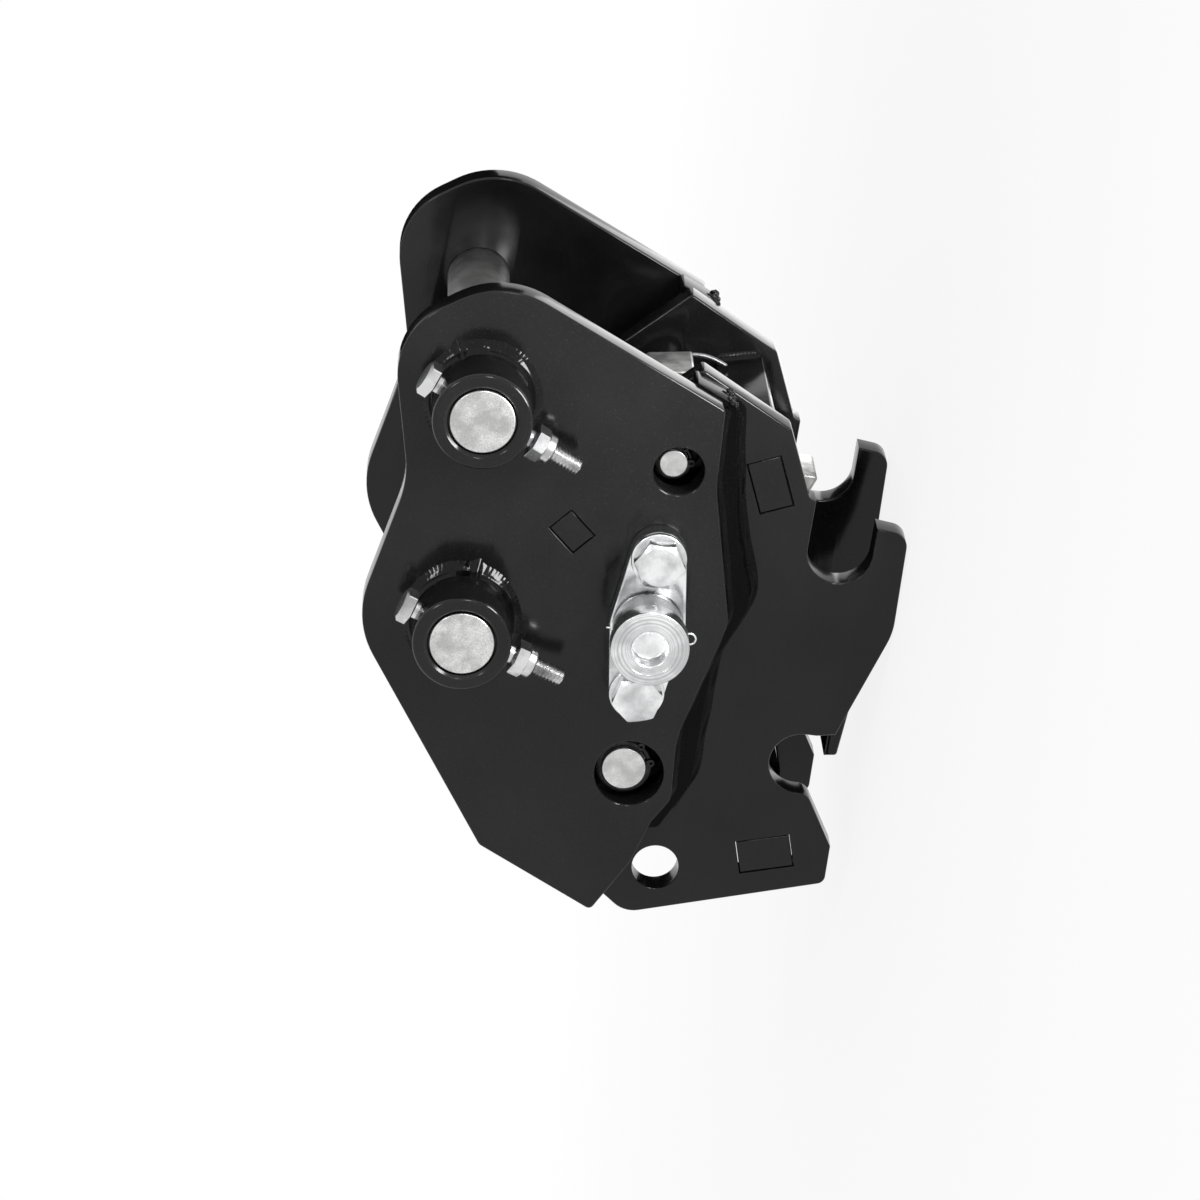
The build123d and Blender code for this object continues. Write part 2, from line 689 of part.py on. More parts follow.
def make_release_cam():
    """Cam on the release shaft: a hub and one round-ended arm under the latch tail."""
    tip = polar(RELEASE, cam_reach, cam_angle())
    with BuildPart() as cam:
        with BuildSketch(side(CAM_W / 2)):
            with Locations(polar(RELEASE, cam_reach / 2, cam_angle())):
                Rectangle(cam_reach, CAM_NECK_W, rotation=degrees(cam_angle()))
            with Locations(tip):
                Circle(CAM_TIP_R)
        extrude(amount=CAM_W)
        with BuildSketch(side(CAM_HUB_W / 2)):
            with Locations(RELEASE):
                Circle(CAM_HUB_R)
        extrude(amount=CAM_HUB_W)
        with BuildSketch(side(CAM_HUB_W / 2)):
            with Locations(RELEASE):
                Circle(SHAFT_D / 2 + RUNNING)
        extrude(amount=CAM_HUB_W, mode=Mode.SUBTRACT)
        with BuildSketch(side(CAM_HUB_W / 2)):
            with Locations(far_tang_centre()):
                Circle(LATCH_SPRING_WIRE / 2 + LOOSE)
        extrude(amount=TANG_DEPTH + 1, mode=Mode.SUBTRACT)
        with BuildSketch(cam_pin_plane()):
            Circle(CAM_PIN_D / 2 + RUNNING)
        extrude(amount=CAM_HUB_R + 1, both=True, mode=Mode.SUBTRACT)
    keep(cam.part, "release_cam")


def cam_pin_plane():
    """Cross plane of the spring pin that fixes the cam, on the hub's near shoulder."""
    y = -(CAM_W + CAM_HUB_W) / 4
    return Plane(origin=(RELEASE[0], y, RELEASE[1]), x_dir=(0, 1, 0), z_dir=(0, 0, 1))


def split_pin_plane():
    """Cross plane of the split pin, across the hub."""
    y = -(HUB_FACE - SPLIT_PIN_BACK)
    return Plane(origin=(RELEASE[0], y, RELEASE[1]), x_dir=(0, 1, 0), z_dir=(0, 0, 1))


def make_release_shaft():
    """Shaft from the hub through the bearing flange to the far hook plate's bush."""
    far_end = hook_outer + FAR_BUSH_FLANGE_T + CIRCLIP_T + CIRCLIP_EDGE + LOOSE
    groove_w = CIRCLIP_T + LOOSE / 3
    with BuildPart() as shaft:
        with BuildSketch(side(far_end)):
            with Locations(RELEASE):
                Circle(SHAFT_D / 2)
        extrude(amount=far_end + shaft_near_end)
        chamfer(shaft.edges().filter_by(GeomType.CIRCLE), EDGE_CHAMFER)
        with BuildSketch(side(far_end - CIRCLIP_EDGE)):
            with Locations(RELEASE):
                Circle(SHAFT_D / 2 + 1)
                Circle(SHAFT_D / 2 - CIRCLIP_GROOVE, mode=Mode.SUBTRACT)
        extrude(amount=groove_w, mode=Mode.SUBTRACT)
        with BuildSketch(cam_pin_plane()):
            Circle(CAM_PIN_D / 2 + RUNNING)
        extrude(amount=SHAFT_D, both=True, mode=Mode.SUBTRACT)
        with BuildSketch(split_pin_plane()):
            Circle(SPLIT_PIN_D / 2 + LOOSE)
        extrude(amount=SHAFT_D, both=True, mode=Mode.SUBTRACT)
    keep(shaft.part, "release_shaft")

    with BuildPart() as circlip:
        with BuildSketch(side(far_end - CIRCLIP_EDGE - LOOSE / 6)):
            add(circlip_face(RELEASE, SHAFT_D, SHAFT_LUGS))
        extrude(amount=CIRCLIP_T)
    keep(circlip.part, "shaft_circlip")

    bush = ring(hook_outer, HOOK_PLATE_T, far_bush_r, SHAFT_D / 2 + RUNNING, RELEASE)
    with BuildPart() as far_bush:
        add(bush.part)
        with BuildSketch(side(hook_outer + FAR_BUSH_FLANGE_T)):
            with Locations(RELEASE):
                Circle(far_bush_r + FAR_BUSH_LIP)
                Circle(SHAFT_D / 2 + RUNNING, mode=Mode.SUBTRACT)
        extrude(amount=FAR_BUSH_FLANGE_T)
    keep(far_bush.part, "far_shaft_bush")

    sleeve_l = hook_inner - CAM_HUB_W / 2 - 2 * LOOSE
    sleeve = ring(-CAM_HUB_W / 2 - LOOSE, sleeve_l, CAM_HUB_R - 2, SHAFT_D / 2 + RUNNING, RELEASE)
    keep(sleeve.part, "shaft_sleeve")


def make_cam_pin():
    """Spring pin through the cam hub and the shaft."""
    with BuildPart() as pin:
        with BuildSketch(cam_pin_plane()):
            Circle(CAM_PIN_D / 2)
        extrude(amount=CAM_HUB_R - 1, both=True)
    keep(pin.part, "cam_pin")


def make_release_hub():
    """Turned hub on the shaft's near end, with a round socket for the release bar."""
    with BuildPart() as hub:
        with BuildSketch(side(-(HUB_FACE - HUB_L))):
            with Locations(RELEASE):
                Circle(hub_body_r)
        extrude(amount=HUB_L)
        with BuildSketch(side(-(HUB_FACE - HUB_RIM_T))):
            with Locations(RELEASE):
                Circle(HUB_RIM_D / 2)
        extrude(amount=HUB_RIM_T)
        with BuildSketch(side(-(HUB_FACE - HUB_L))):
            with Locations(RELEASE):
                Circle(SHAFT_D / 2 + RUNNING)
        extrude(amount=HUB_L - SOCKET_DEPTH, mode=Mode.SUBTRACT)
        with BuildSketch(side(-(HUB_FACE - SOCKET_DEPTH))):
            with Locations(RELEASE):
                Circle(SOCKET_D / 2)
        extrude(amount=SOCKET_DEPTH, mode=Mode.SUBTRACT)
        with BuildSketch(split_pin_plane()):
            Circle(SPLIT_PIN_D / 2 + LOOSE)
        extrude(amount=HUB_RIM_D, both=True, mode=Mode.SUBTRACT)
        rims = hub.edges().filter_by(GeomType.CIRCLE).filter_by(
            lambda edge: abs(edge.radius - HUB_RIM_D / 2) < 0.01
        )
        chamfer(rims, EDGE_CHAMFER)
    keep(hub.part, "release_hub")


def make_split_pin():
    """Split pin through the hub and the shaft, with its eye below the hub."""
    plane = split_pin_plane()
    below = hub_body_r + EDGE_CHAMFER
    with BuildPart() as pin:
        with BuildSketch(plane.offset(-below)):
            Circle(SPLIT_PIN_D / 2)
        extrude(amount=2 * below + SPLIT_EYE_R)
        with BuildSketch(side(plane.origin.Y + SPLIT_EYE_WIRE / 2)):
            with Locations((plane.origin.X, plane.origin.Z - below - SPLIT_EYE_R)):
                Circle(SPLIT_EYE_R + SPLIT_EYE_WIRE / 2)
                Circle(SPLIT_EYE_R - SPLIT_EYE_WIRE / 2, mode=Mode.SUBTRACT)
        extrude(amount=SPLIT_EYE_WIRE)
    keep(pin.part, "split_pin")


def flange_bolt_centres():
    """The two bolt positions, level with the release shaft, in front of it and behind."""
    x, z = RELEASE
    return [(x - FLANGE_BOLT_OFFSET, z), (x + FLANGE_BOLT_OFFSET, z)]


def make_bearing_flange():
    """Rhombic two-bolt bearing flange with a spigot in the near side plate."""
    with BuildPart() as flange:
        with BuildSketch(side(-side_outer)):
            with Locations(RELEASE):
                Circle(FLANGE_MIDDLE_R)
            with Locations(*flange_bolt_centres()):
                Circle(FLANGE_LOBE_R)
            make_hull()
        extrude(amount=FLANGE_T)
        with BuildSketch(side(-side_inner)):
            with Locations(RELEASE):
                Circle(SPIGOT_D / 2)
        extrude(amount=SIDE_PLATE_T)
        with BuildSketch(side(-flange_face)):
            with Locations(RELEASE):
                Circle(FLANGE_COLLAR_D / 2)
        extrude(amount=FLANGE_COLLAR_H)
        with BuildSketch(side(-side_inner)):
            with Locations(RELEASE):
                Circle(SHAFT_D / 2 + RUNNING)
        extrude(amount=SIDE_PLATE_T + FLANGE_T + FLANGE_COLLAR_H, mode=Mode.SUBTRACT)
        with BuildSketch(side(-side_outer)):
            with Locations(*flange_bolt_centres()):
                Circle(FLANGE_BOLT_D / 2 + LOOSE)
        extrude(amount=FLANGE_T, mode=Mode.SUBTRACT)
    keep(flange.part, "bearing_flange")


def make_flange_bolts():
    """Hexagon bolts and plain washers of the bearing flange, one group each."""
    with BuildPart() as bolts:
        with BuildSketch(side(-washer_face)):
            with Locations(*flange_bolt_centres()):
                RegularPolygon(FLANGE_BOLT_AF / 2, 6, major_radius=False, rotation=30)
        extrude(amount=FLANGE_BOLT_HEAD)
        with BuildSketch(side(-side_inner - 1)):
            with Locations(*flange_bolt_centres()):
                Circle(FLANGE_BOLT_D / 2)
        extrude(amount=washer_face - side_inner - 1)
    keep(bolts.part, "flange_bolts")

    with BuildPart() as washers:
        with BuildSketch(side(-flange_face)):
            with Locations(*flange_bolt_centres()):
                Circle(WASHER_D / 2)
                Circle(FLANGE_BOLT_D / 2 + LOOSE, mode=Mode.SUBTRACT)
        extrude(amount=WASHER_T)
    keep(washers.part, "flange_washers")


def make_plates():
    """Both side plates, hook plates and spacer bars, with the bars that tie them."""
    make_side_plate("near_side_plate", -side_inner, True)
    make_side_plate("far_side_plate", side_outer, False)
    make_hook_plate("near_hook_plate", -hook_inner)
    make_hook_plate("far_hook_plate", hook_outer)
    make_spacer_bar("near_spacer_bar", -hook_outer)
    make_spacer_bar("far_spacer_bar", side_inner)
    make_cross_bar("nose_bar", NOSE_BAR, NOSE_BAR_SIZE, NOSE_BAR_TURN, hook_outer)
    make_cross_bar("rear_bar", REAR_BAR, REAR_BAR_SIZE, REAR_BAR_TURN, hook_outer)
    make_cross_bar("centre_bar", CENTRE_BAR, CENTRE_BAR_SIZE, CENTRE_BAR_TURN, side_outer)
    make_nose_shelf()


def make_carrier_pins():
    """The stick and link pins with their bosses, welds, cross bolts and nuts."""
    stick_plane = cross_bolt_plane(STICK_PIN, STICK_BOLT_ANGLE)
    link_plane = cross_bolt_plane(LINK_PIN, LINK_BOLT_ANGLE)
    for prefix, centre, plane in (
        ("stick", STICK_PIN, stick_plane),
        ("link", LINK_PIN, link_plane),
    ):
        make_boss(f"near_{prefix}_boss", centre, True, plane)
        make_boss(f"far_{prefix}_boss", centre, False, plane)
        make_carrier_pin(f"{prefix}_pin", centre, plane)
        make_cross_bolt(f"{prefix}_pin_bolt", plane)
    make_boss_welds()
    make_cross_nuts((stick_plane, link_plane))


def make_mechanism():
    """The latch, the front lock and the release gear with their pins and springs."""
    make_pivot("lock", LOCK_PIVOT, LOCK_PIN_D, LOCK_PIN_END, LOCK_BOSS_R, LOCK_LUGS)
    make_pivot("latch", LATCH_PIVOT, LATCH_PIN_D, LATCH_PIN_END, LATCH_BOSS_R, LATCH_LUGS)
    make_latch_hook()
    make_front_lock()
    make_lock_sleeves()
    make_latch_spring()
    make_lock_spring()
    make_release_cam()
    make_release_shaft()
    make_cam_pin()
    make_release_hub()
    make_split_pin()
    make_bearing_flange()
    make_flange_bolts()


os.makedirs("parts", exist_ok=True)
make_plates()
make_carrier_pins()
make_mechanism()
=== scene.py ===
# %% [markdown]
# # A quick coupler in black paint and zinc
# A quick coupler sits between an excavator's arm and its bucket. Two pairs of thick steel plates
# carry everything, and most of what the eye sees is gloss black paint with bright zinc fasteners.
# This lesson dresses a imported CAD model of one. Every length below is in metres.

import bmesh
import bpy
import numpy as np
from mathutils import Matrix, Vector
from mathutils.geometry import tessellate_polygon


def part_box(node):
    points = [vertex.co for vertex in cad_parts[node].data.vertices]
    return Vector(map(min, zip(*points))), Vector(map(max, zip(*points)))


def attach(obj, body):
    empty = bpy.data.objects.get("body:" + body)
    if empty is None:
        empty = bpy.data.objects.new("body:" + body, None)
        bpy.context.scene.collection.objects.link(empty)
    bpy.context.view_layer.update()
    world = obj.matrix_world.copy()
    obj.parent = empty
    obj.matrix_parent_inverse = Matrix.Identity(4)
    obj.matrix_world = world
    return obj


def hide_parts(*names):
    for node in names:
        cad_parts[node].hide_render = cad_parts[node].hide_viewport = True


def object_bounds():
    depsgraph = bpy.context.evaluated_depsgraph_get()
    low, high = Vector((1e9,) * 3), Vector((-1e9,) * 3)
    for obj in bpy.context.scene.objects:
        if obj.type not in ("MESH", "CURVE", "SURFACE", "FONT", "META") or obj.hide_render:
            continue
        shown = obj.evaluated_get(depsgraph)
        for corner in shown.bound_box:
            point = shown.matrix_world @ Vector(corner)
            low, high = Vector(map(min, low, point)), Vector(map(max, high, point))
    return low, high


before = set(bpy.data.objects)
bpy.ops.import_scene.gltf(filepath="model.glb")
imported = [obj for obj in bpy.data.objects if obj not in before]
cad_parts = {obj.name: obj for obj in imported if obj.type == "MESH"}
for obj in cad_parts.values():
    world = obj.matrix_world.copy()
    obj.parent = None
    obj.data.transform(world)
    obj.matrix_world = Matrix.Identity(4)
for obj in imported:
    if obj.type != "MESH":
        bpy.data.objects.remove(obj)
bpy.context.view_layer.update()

# %% [markdown]
# ## Finishes
# Paint and plating are never one flat colour. Each finish below is a Principled shader whose
# colour, roughness and bump come from noise in Object coordinates, so the pattern stays on the
# metal when a piece moves. Numbers that are the same everywhere are set on the shader's sockets.

# %% Helpers for shader nodes
TAU = 2 * np.pi


def add(tree, kind, inputs=(), **settings):
    """The outputs of a new shader node, whose inputs are values or the sockets they link to."""
    node = tree.nodes.new("ShaderNode" + kind)
    for setting, value in settings.items():
        setattr(node, setting, value)
    for key, value in dict(inputs).items():
        if isinstance(value, bpy.types.NodeSocket):
            tree.links.new(value, node.inputs[key])
        else:
            node.inputs[key].default_value = value
    return node.outputs


def shader_tree(name):
    """A new material's node tree, its Principled shader and its Object coordinates."""
    finish = bpy.data.materials.new(name)
    finish.use_nodes = True
    tree = finish.node_tree
    return finish, tree, tree.nodes["Principled BSDF"], add(tree, "TexCoord")["Object"]


def noise(tree, where, scale, detail=3.0, stretch=None):
    """Noise of a given scale per metre, stretched along an axis where asked."""
    if stretch is not None:
        where = add(tree, "Mapping", {"Vector": where, "Scale": stretch})["Vector"]
    return add(tree, "TexNoise", {"Vector": where, "Scale": scale, "Detail": detail})["Fac"]


def spread(tree, factor, low, high, start=0.3, stop=0.7):
    """Maps a factor between start and stop to a value between low and high."""
    ends = {"From Min": start, "From Max": stop, "To Min": low, "To Max": high}
    return add(tree, "MapRange", {"Value": factor, **ends})["Result"]


def between(tree, factor, dark, light, start=0.3, stop=0.7):
    """A colour between two, driven by a factor."""
    node = tree.nodes.new("ShaderNodeValToRGB")
    ends = zip(node.color_ramp.elements, (start, stop), (dark, light))
    for element, place, colour in ends:
        element.position, element.color = place, (*colour, 1)
    tree.links.new(factor, node.inputs["Fac"])
    return node.outputs["Color"]


def overlay(tree, factor, below, above):
    """A colour laid over another one where a factor is high."""
    inputs = {"Factor": factor, "A": below, "B": (*above, 1)}
    return add(tree, "Mix", inputs, data_type="RGBA")["Result"]


def dress(tree, shader, colour, rough, heights):
    """Links colour and roughness, and chains bumps of (factor, strength, depth in metres)."""
    tree.links.new(colour, shader.inputs["Base Color"])
    tree.links.new(rough, shader.inputs["Roughness"])
    below = {}
    for factor, strength, depth in heights:
        inputs = {"Height": factor, "Strength": strength, "Distance": depth, **below}
        below = {"Normal": add(tree, "Bump", inputs)["Normal"]}
    tree.links.new(below["Normal"], shader.inputs["Normal"])


print("helpers for finishes are ready")

# %% [markdown]
# ### Gloss black paint
# Sprayed enamel on flame-cut plate is almost black, but it is not smooth. It has a fine orange
# peel about a millimetre across, slow waves from the plate below, soft patches where it dried a
# little duller, and sparse light specks that are dust, made bright enough to be painted glints as
# well. A low index of refraction keeps its reflections dark. The weld beads get a darker, smoother
# coat, so that only their highlights show; their darker pigment is painted shade, for the dark
# surroundings they mirror. The spacer bars and their seams get a darker pigment too, as painted
# shade for the groove between the plates.

# %% Gloss black paint
# The light specks are dust, made bright enough to serve as painted glints as well.
PIGMENTS, DUST_AND_GLINT = (0.004, 0.009), (0.1, 0.1, 0.1)


def black_paint(name, dull=0.0, depth=1.0, index=1.36, peel_strength=0.2):
    """Black enamel; dull adds roughness, and a depth below 1 darkens the pigment, which here always
    stands for painted shade.
    """
    finish, tree, shader, where = shader_tree(name)
    patches = noise(tree, where, 18, 4)
    peel = noise(tree, where, 900, 2)
    waves = noise(tree, where, 30, 2)
    # Sparse light specks: dust, and painted glints too.
    dust_and_glints = spread(tree, noise(tree, where, 2300, 1), 0.0, 0.5, 0.68, 0.76)
    dark, light = (tuple(depth * c for c in (g, g, 1.06 * g)) for g in PIGMENTS)
    colour = overlay(tree, dust_and_glints, between(tree, patches, dark, light), DUST_AND_GLINT)
    rough = spread(tree, patches, 0.11 + dull, 0.2 + dull)
    shader.inputs["IOR"].default_value = index
    dress(tree, shader, colour, rough, [(waves, 0.3, 0.0016), (peel, peel_strength, 0.0001)])
    return finish


paint = black_paint("gloss_black_paint")
# The welds' darker pigment (depth 0.2) is painted shade, for the dark surroundings they mirror.
weld_paint_with_painted_shade = black_paint("weld_coat_with_painted_shade", dull=-0.03, depth=0.2, index=1.3, peel_strength=0.05)
# The seams and spacer bars get a darker pigment with weak reflections: painted shade for the groove
# between the plates.
seam_paint_with_painted_shade = black_paint("seam_coat_with_painted_shade", depth=0.2, index=1.17)
print(paint.name, weld_paint_with_painted_shade.name, seam_paint_with_painted_shade.name)

# %% [markdown]
# ### Bright zinc plate
# The hub, flange, bolts, nuts and the front lock are zinc plated. Zinc is a bright, slightly blue
# white metal with cloudy patches and fine handling scratches, which show as stretched noise. On
# the cross bolts and their lock nuts the same zinc is painted darker, as painted shade that keeps
# their highlights from washing out, so that each turn of the thread can be told from the next. On
# the forged front lock the zinc is rougher, and its darker colour is painted shade. The hub also
# has the rings that a lathe leaves, but not inside its socket.

# %% Zinc plate
SOCKET_CLEAR, GROOVE_GREY = 0.0101, (0.38, 0.385, 0.39)


def rings(tree, where, centre, scale, clear):
    """Uneven turning rings round an axis along Y, outside a clear radius: noise of the radius."""
    flat = add(tree, "VectorMath", {0: where, 1: (1, 0, 1)}, operation="MULTIPLY")["Vector"]
    axis = (centre[0], 0, centre[2])
    away = add(tree, "VectorMath", {0: flat, 1: axis}, operation="DISTANCE")["Value"]
    inputs = {"W": away, "Scale": scale, "Detail": 3}
    uneven = add(tree, "TexNoise", inputs, noise_dimensions="1D")["Fac"]
    outside = spread(tree, away, 0.0, 1.0, clear, clear + 0.0005)
    return add(tree, "Math", {0: uneven, 1: outside}, operation="MULTIPLY")["Value"]


def zinc_plate(name, dark, light, rough, turned_about=None):
    """Zinc over machined steel: cloudy colour, cloudy gloss, fine scratches and small pits."""
    finish, tree, shader, where = shader_tree(name)
    clouds = noise(tree, where, 70, 5)
    scratches = noise(tree, where, 420, 3, stretch=(1.0, 1.0, 9.0))
    pits = noise(tree, where, 1500, 2)
    colour = between(tree, clouds, dark, light, 0.36, 0.62)
    heights = [(scratches, 0.2, 0.0001), (pits, 0.25, 0.00006)]
    if turned_about is not None:
        groove = rings(tree, where, turned_about, 900, SOCKET_CLEAR)
        dull = spread(tree, groove, 0.0, 0.55, 0.42, 0.62)
        colour = overlay(tree, dull, colour, GROOVE_GREY)
        heights.append((groove, 0.35, 0.00025))
    shader.inputs["Metallic"].default_value = 1.0
    dress(tree, shader, colour, spread(tree, clouds, rough + 0.14, rough), heights)
    return finish


zinc = zinc_plate("bright_zinc", (0.5, 0.505, 0.51), (0.9, 0.905, 0.91), 0.15)
# The threaded bolts and nuts get the same zinc painted darker: painted shade that keeps their highlights
# from washing out.
cross_zinc_with_painted_shade = zinc_plate("thread_zinc_with_painted_shade", (0.3, 0.3, 0.305), (0.68, 0.68, 0.685), 0.2)
# The forged lock's zinc is rougher, and its darker colour is painted shade.
cast_zinc_with_painted_shade = zinc_plate("forging_zinc_with_painted_shade", (0.18, 0.18, 0.18), (0.6, 0.6, 0.59), 0.32)
print(zinc.name, cross_zinc_with_painted_shade.name, cast_zinc_with_painted_shade.name)

# %% [markdown]
# ### Sawn and ground pin steel
# The pins' ends are cut and plated, so they look bright and finely grained. Two scales of noise
# give the grain, in the colour, the gloss and the height. A pin whose end shows also has faint
# turning rings and grey clouds. The springs, the circlips and the far bush share the recipe.

# %% Pin steel
CLOUD_GREY = (0.36, 0.36, 0.36)


def grained_steel(name, dark, light, rough, grain, turned_about=None):
    """Steel with a visible grain of a given scale per metre, and rings and clouds if turned."""
    finish, tree, shader, where = shader_tree(name)
    coarse = noise(tree, where, grain, 4)
    fine = noise(tree, where, grain * 3, 2)
    heights = [(coarse, 0.4, 0.00008), (fine, 0.3, 0.00003)]
    colour = between(tree, coarse, dark, light)
    if turned_about is not None:
        clouds = spread(tree, noise(tree, where, 95, 4), 0.0, 0.6, 0.42, 0.62)
        colour = overlay(tree, clouds, colour, CLOUD_GREY)
        heights.append((rings(tree, where, turned_about, 1400, 0.0), 0.3, 0.0001))
    shader.inputs["Metallic"].default_value = 1.0
    dress(tree, shader, colour, spread(tree, fine, rough, rough + 0.2), heights)
    return finish


def turned_pin_steel(axis):
    """The pin steel of one pin, with turning rings about its own axis."""
    name = f"turned_pin_steel_{len(bpy.data.materials)}"
    return grained_steel(name, (0.56, 0.56, 0.555), (0.86, 0.86, 0.85), 0.22, 1500, axis)


pin_steel = grained_steel("grained_pin_steel", (0.66, 0.66, 0.65), (0.93, 0.93, 0.92), 0.3, 1100)
spring_steel = grained_steel("oiled_spring_steel", (0.16, 0.16, 0.17), (0.34, 0.34, 0.35), 0.28, 700)
clip_steel = grained_steel("blackened_clip", (0.014, 0.014, 0.014), (0.05, 0.05, 0.05), 0.25, 700)
bronze = grained_steel("bearing_bronze", (0.42, 0.26, 0.11), (0.62, 0.42, 0.2), 0.35, 500)
sleeve_paint = black_paint("satin_black_sleeve", dull=0.15)
# This dull black paints the shade at the bottoms of the spacer bars' small holes, and the studio's black
# cards use it too.
hole_shade_and_card_black = black_paint("black_for_hole_shade_and_cards", dull=0.7, depth=0.3, index=1.1)
print(pin_steel.name, spring_steel.name, clip_steel.name, bronze.name, sleeve_paint.name)

# %% [markdown]
# ## Surfaces as arrays
# Each new piece is a surface P(u, v) on a grid: one parameter runs round a section, the other
# runs along it. A whole grid is computed at once, and its faces follow from its row and column
# numbers. These few helpers turn such grids into meshes.

# %% Grids of points and their faces


def wrapped(grid, close_rows=False):
    """Faces of a grid of shape (rows, columns, 3) whose columns close into a ring."""
    rows, columns = grid.shape[:2]
    index = np.arange(rows * columns).reshape(rows, columns)
    if close_rows:
        index = np.vstack([index, index[:1]])
    a, b = index[:-1], index[1:]
    quads = np.stack([a, np.roll(a, -1, 1), np.roll(b, -1, 1), b], -1).reshape(-1, 4)
    return grid.reshape(-1, 3), quads, False


def soft_path(corners, steps=7):
    """Rounds each corner P of a path between A and B, the points a setback before and after it.

    Round a corner the path is (1 - s)^2 A + 2 s (1 - s) P + s^2 B. Each row of corners is a point
    followed by its setback, and a setback of 0 keeps the corner sharp.
    """
    table = np.asarray(corners, float)
    point, setback = table[:, :-1], table[:, -1:]

    def towards(other):
        step = other - point
        return step / np.maximum(np.linalg.norm(step, axis=1, keepdims=True), 1e-12)

    start = point + setback * towards(np.roll(point, 1, 0))
    stop = point + setback * towards(np.roll(point, -1, 0))
    s = np.linspace(0, 1, steps)[None, :, None]
    arc = (1 - s) ** 2 * start[:, None] + 2 * s * (1 - s) * point[:, None] + s**2 * stop[:, None]
    keep = np.repeat(setback[:, 0] > 0, steps) | np.tile(np.arange(steps) == 0, len(table))
    return arc.reshape(-1, point.shape[1])[keep]


def piece(name, patches, body, slot, finish, *nodes, sharp=38):
    """Joins patches of (points, faces, flat) into one closed mesh that rides on a body."""
    points, faces, flat, first = [], [], [], 0
    for patch_points, patch_faces, is_flat in patches:
        points.append(patch_points)
        faces += (np.asarray(patch_faces) + first).tolist()
        flat += [is_flat] * len(patch_faces)
        first += len(patch_points)
    mesh = bpy.data.meshes.new(name)
    mesh.from_pydata(np.concatenate(points).tolist(), [], faces)
    mesh.polygons.foreach_set("use_smooth", ~np.array(flat, bool))
    shell = bmesh.new()
    shell.from_mesh(mesh)
    bmesh.ops.remove_doubles(shell, verts=shell.verts, dist=2e-6)
    bmesh.ops.recalc_face_normals(shell, faces=shell.faces)
    shell.to_mesh(mesh)
    shell.free()
    mesh.set_sharp_from_angle(angle=np.radians(sharp))
    mesh.materials.append(finish)
    obj = bpy.data.objects.new(name, mesh)
    bpy.context.scene.collection.objects.link(obj)
    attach(obj, body)
    if nodes:
        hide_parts(*nodes)
    print(f"{name}: {len(mesh.vertices)} points, {len(mesh.polygons)} faces on {body}")
    return obj


print("grid helpers are ready")

# %% [markdown]
# ## Plates with softened edges
# A flame-cut plate is flat on both faces, but its edges are eased and the paint rounds them more.
# That thin bright line along every edge is what makes a plate look thick. The outline of each
# plate is read from the CAD node's own flat face, so the new surface can't drift from it, and a
# quarter-round profile is carried along that outline.

# %% Outlines of a flat face


def face_loops(node, y):
    """The closed outlines of a CAD node's flat face at height y, each an array of (x, z).

    Edges that only one triangle of the face uses are its outline. They are chained head to tail.
    """
    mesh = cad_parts[node].data
    place = np.empty(len(mesh.vertices) * 3, np.float32)
    mesh.vertices.foreach_get("co", place)
    place = place.reshape(-1, 3)
    corner = np.empty(len(mesh.loops), np.int32)
    mesh.loops.foreach_get("vertex_index", corner)
    _, first, merged = np.unique(
        np.round(place * 1e6).astype(np.int64), axis=0, return_index=True, return_inverse=True
    )
    merged = merged.reshape(-1)
    tris = merged[corner.reshape(-1, 3)]
    level = np.abs(place[first][:, 1] - y) < 2e-5
    tris = tris[level[tris].all(1)]
    start = tris.reshape(-1)
    stop = np.roll(tris, -1, 1).reshape(-1)
    count = len(first)
    outline = ~np.isin(start * count + stop, stop * count + start)
    onward = dict(zip(start[outline].tolist(), stop[outline].tolist()))
    loops = []
    while onward:
        head, step = onward.popitem()
        chain = [head]
        while step != head:
            chain.append(step)
            step = onward.pop(step)
        loops.append(place[first][chain][:, [0, 2]].astype(float))
    return loops


def mitre(loop):
    """The inward shift of each outline point for an inset of 1, from its two edges' normals."""

    def left(edge):
        edge = edge / np.maximum(np.linalg.norm(edge, axis=1, keepdims=True), 1e-12)
        return np.stack([-edge[:, 1], edge[:, 0]], 1)

    before = left(loop - np.roll(loop, 1, 0))
    after = left(np.roll(loop, -1, 0) - loop)
    share = 1 + (before * after).sum(1, keepdims=True)
    return (before + after) / np.maximum(share, 0.35)


def cap(loops, y):
    """A flat face bounded by loops of (x, z), at height y."""
    rims = [np.stack([loop[:, 0], np.full(len(loop), y), loop[:, 1]], 1) for loop in loops]
    tris = tessellate_polygon([[Vector(p) for p in rim] for rim in rims])
    return np.concatenate(rims), np.array(tris), True


def slab(loops, y_near, y_far, edge, steps=5):
    """A plate between two heights whose rims are quarter rounds of radius edge.

    Round the rim, at angle a, the outline is inset by edge (1 - sin a) at a depth edge (1 - cos a).
    """
    angle = np.linspace(0, np.pi / 2, steps)
    inset = edge * (1 - np.sin(angle))
    depth = edge * (1 - np.cos(angle))
    inset = np.concatenate([inset, inset[::-1]])
    y = np.concatenate([y_near + depth, (y_far - depth)[::-1]])
    patches, rims = [], []
    for loop in loops:
        shift = mitre(loop)
        ring = loop[None] + inset[:, None, None] * shift[None]
        height = np.broadcast_to(y[:, None], ring.shape[:2])
        patches.append(wrapped(np.stack([ring[..., 0], height, ring[..., 1]], -1)))
        rims.append(loop + edge * shift)
    return [*patches, cap(rims, y_near), cap(rims, y_far)]


def levels(node):
    """A node's lowest and highest y."""
    low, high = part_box(node)
    return low.y, high.y


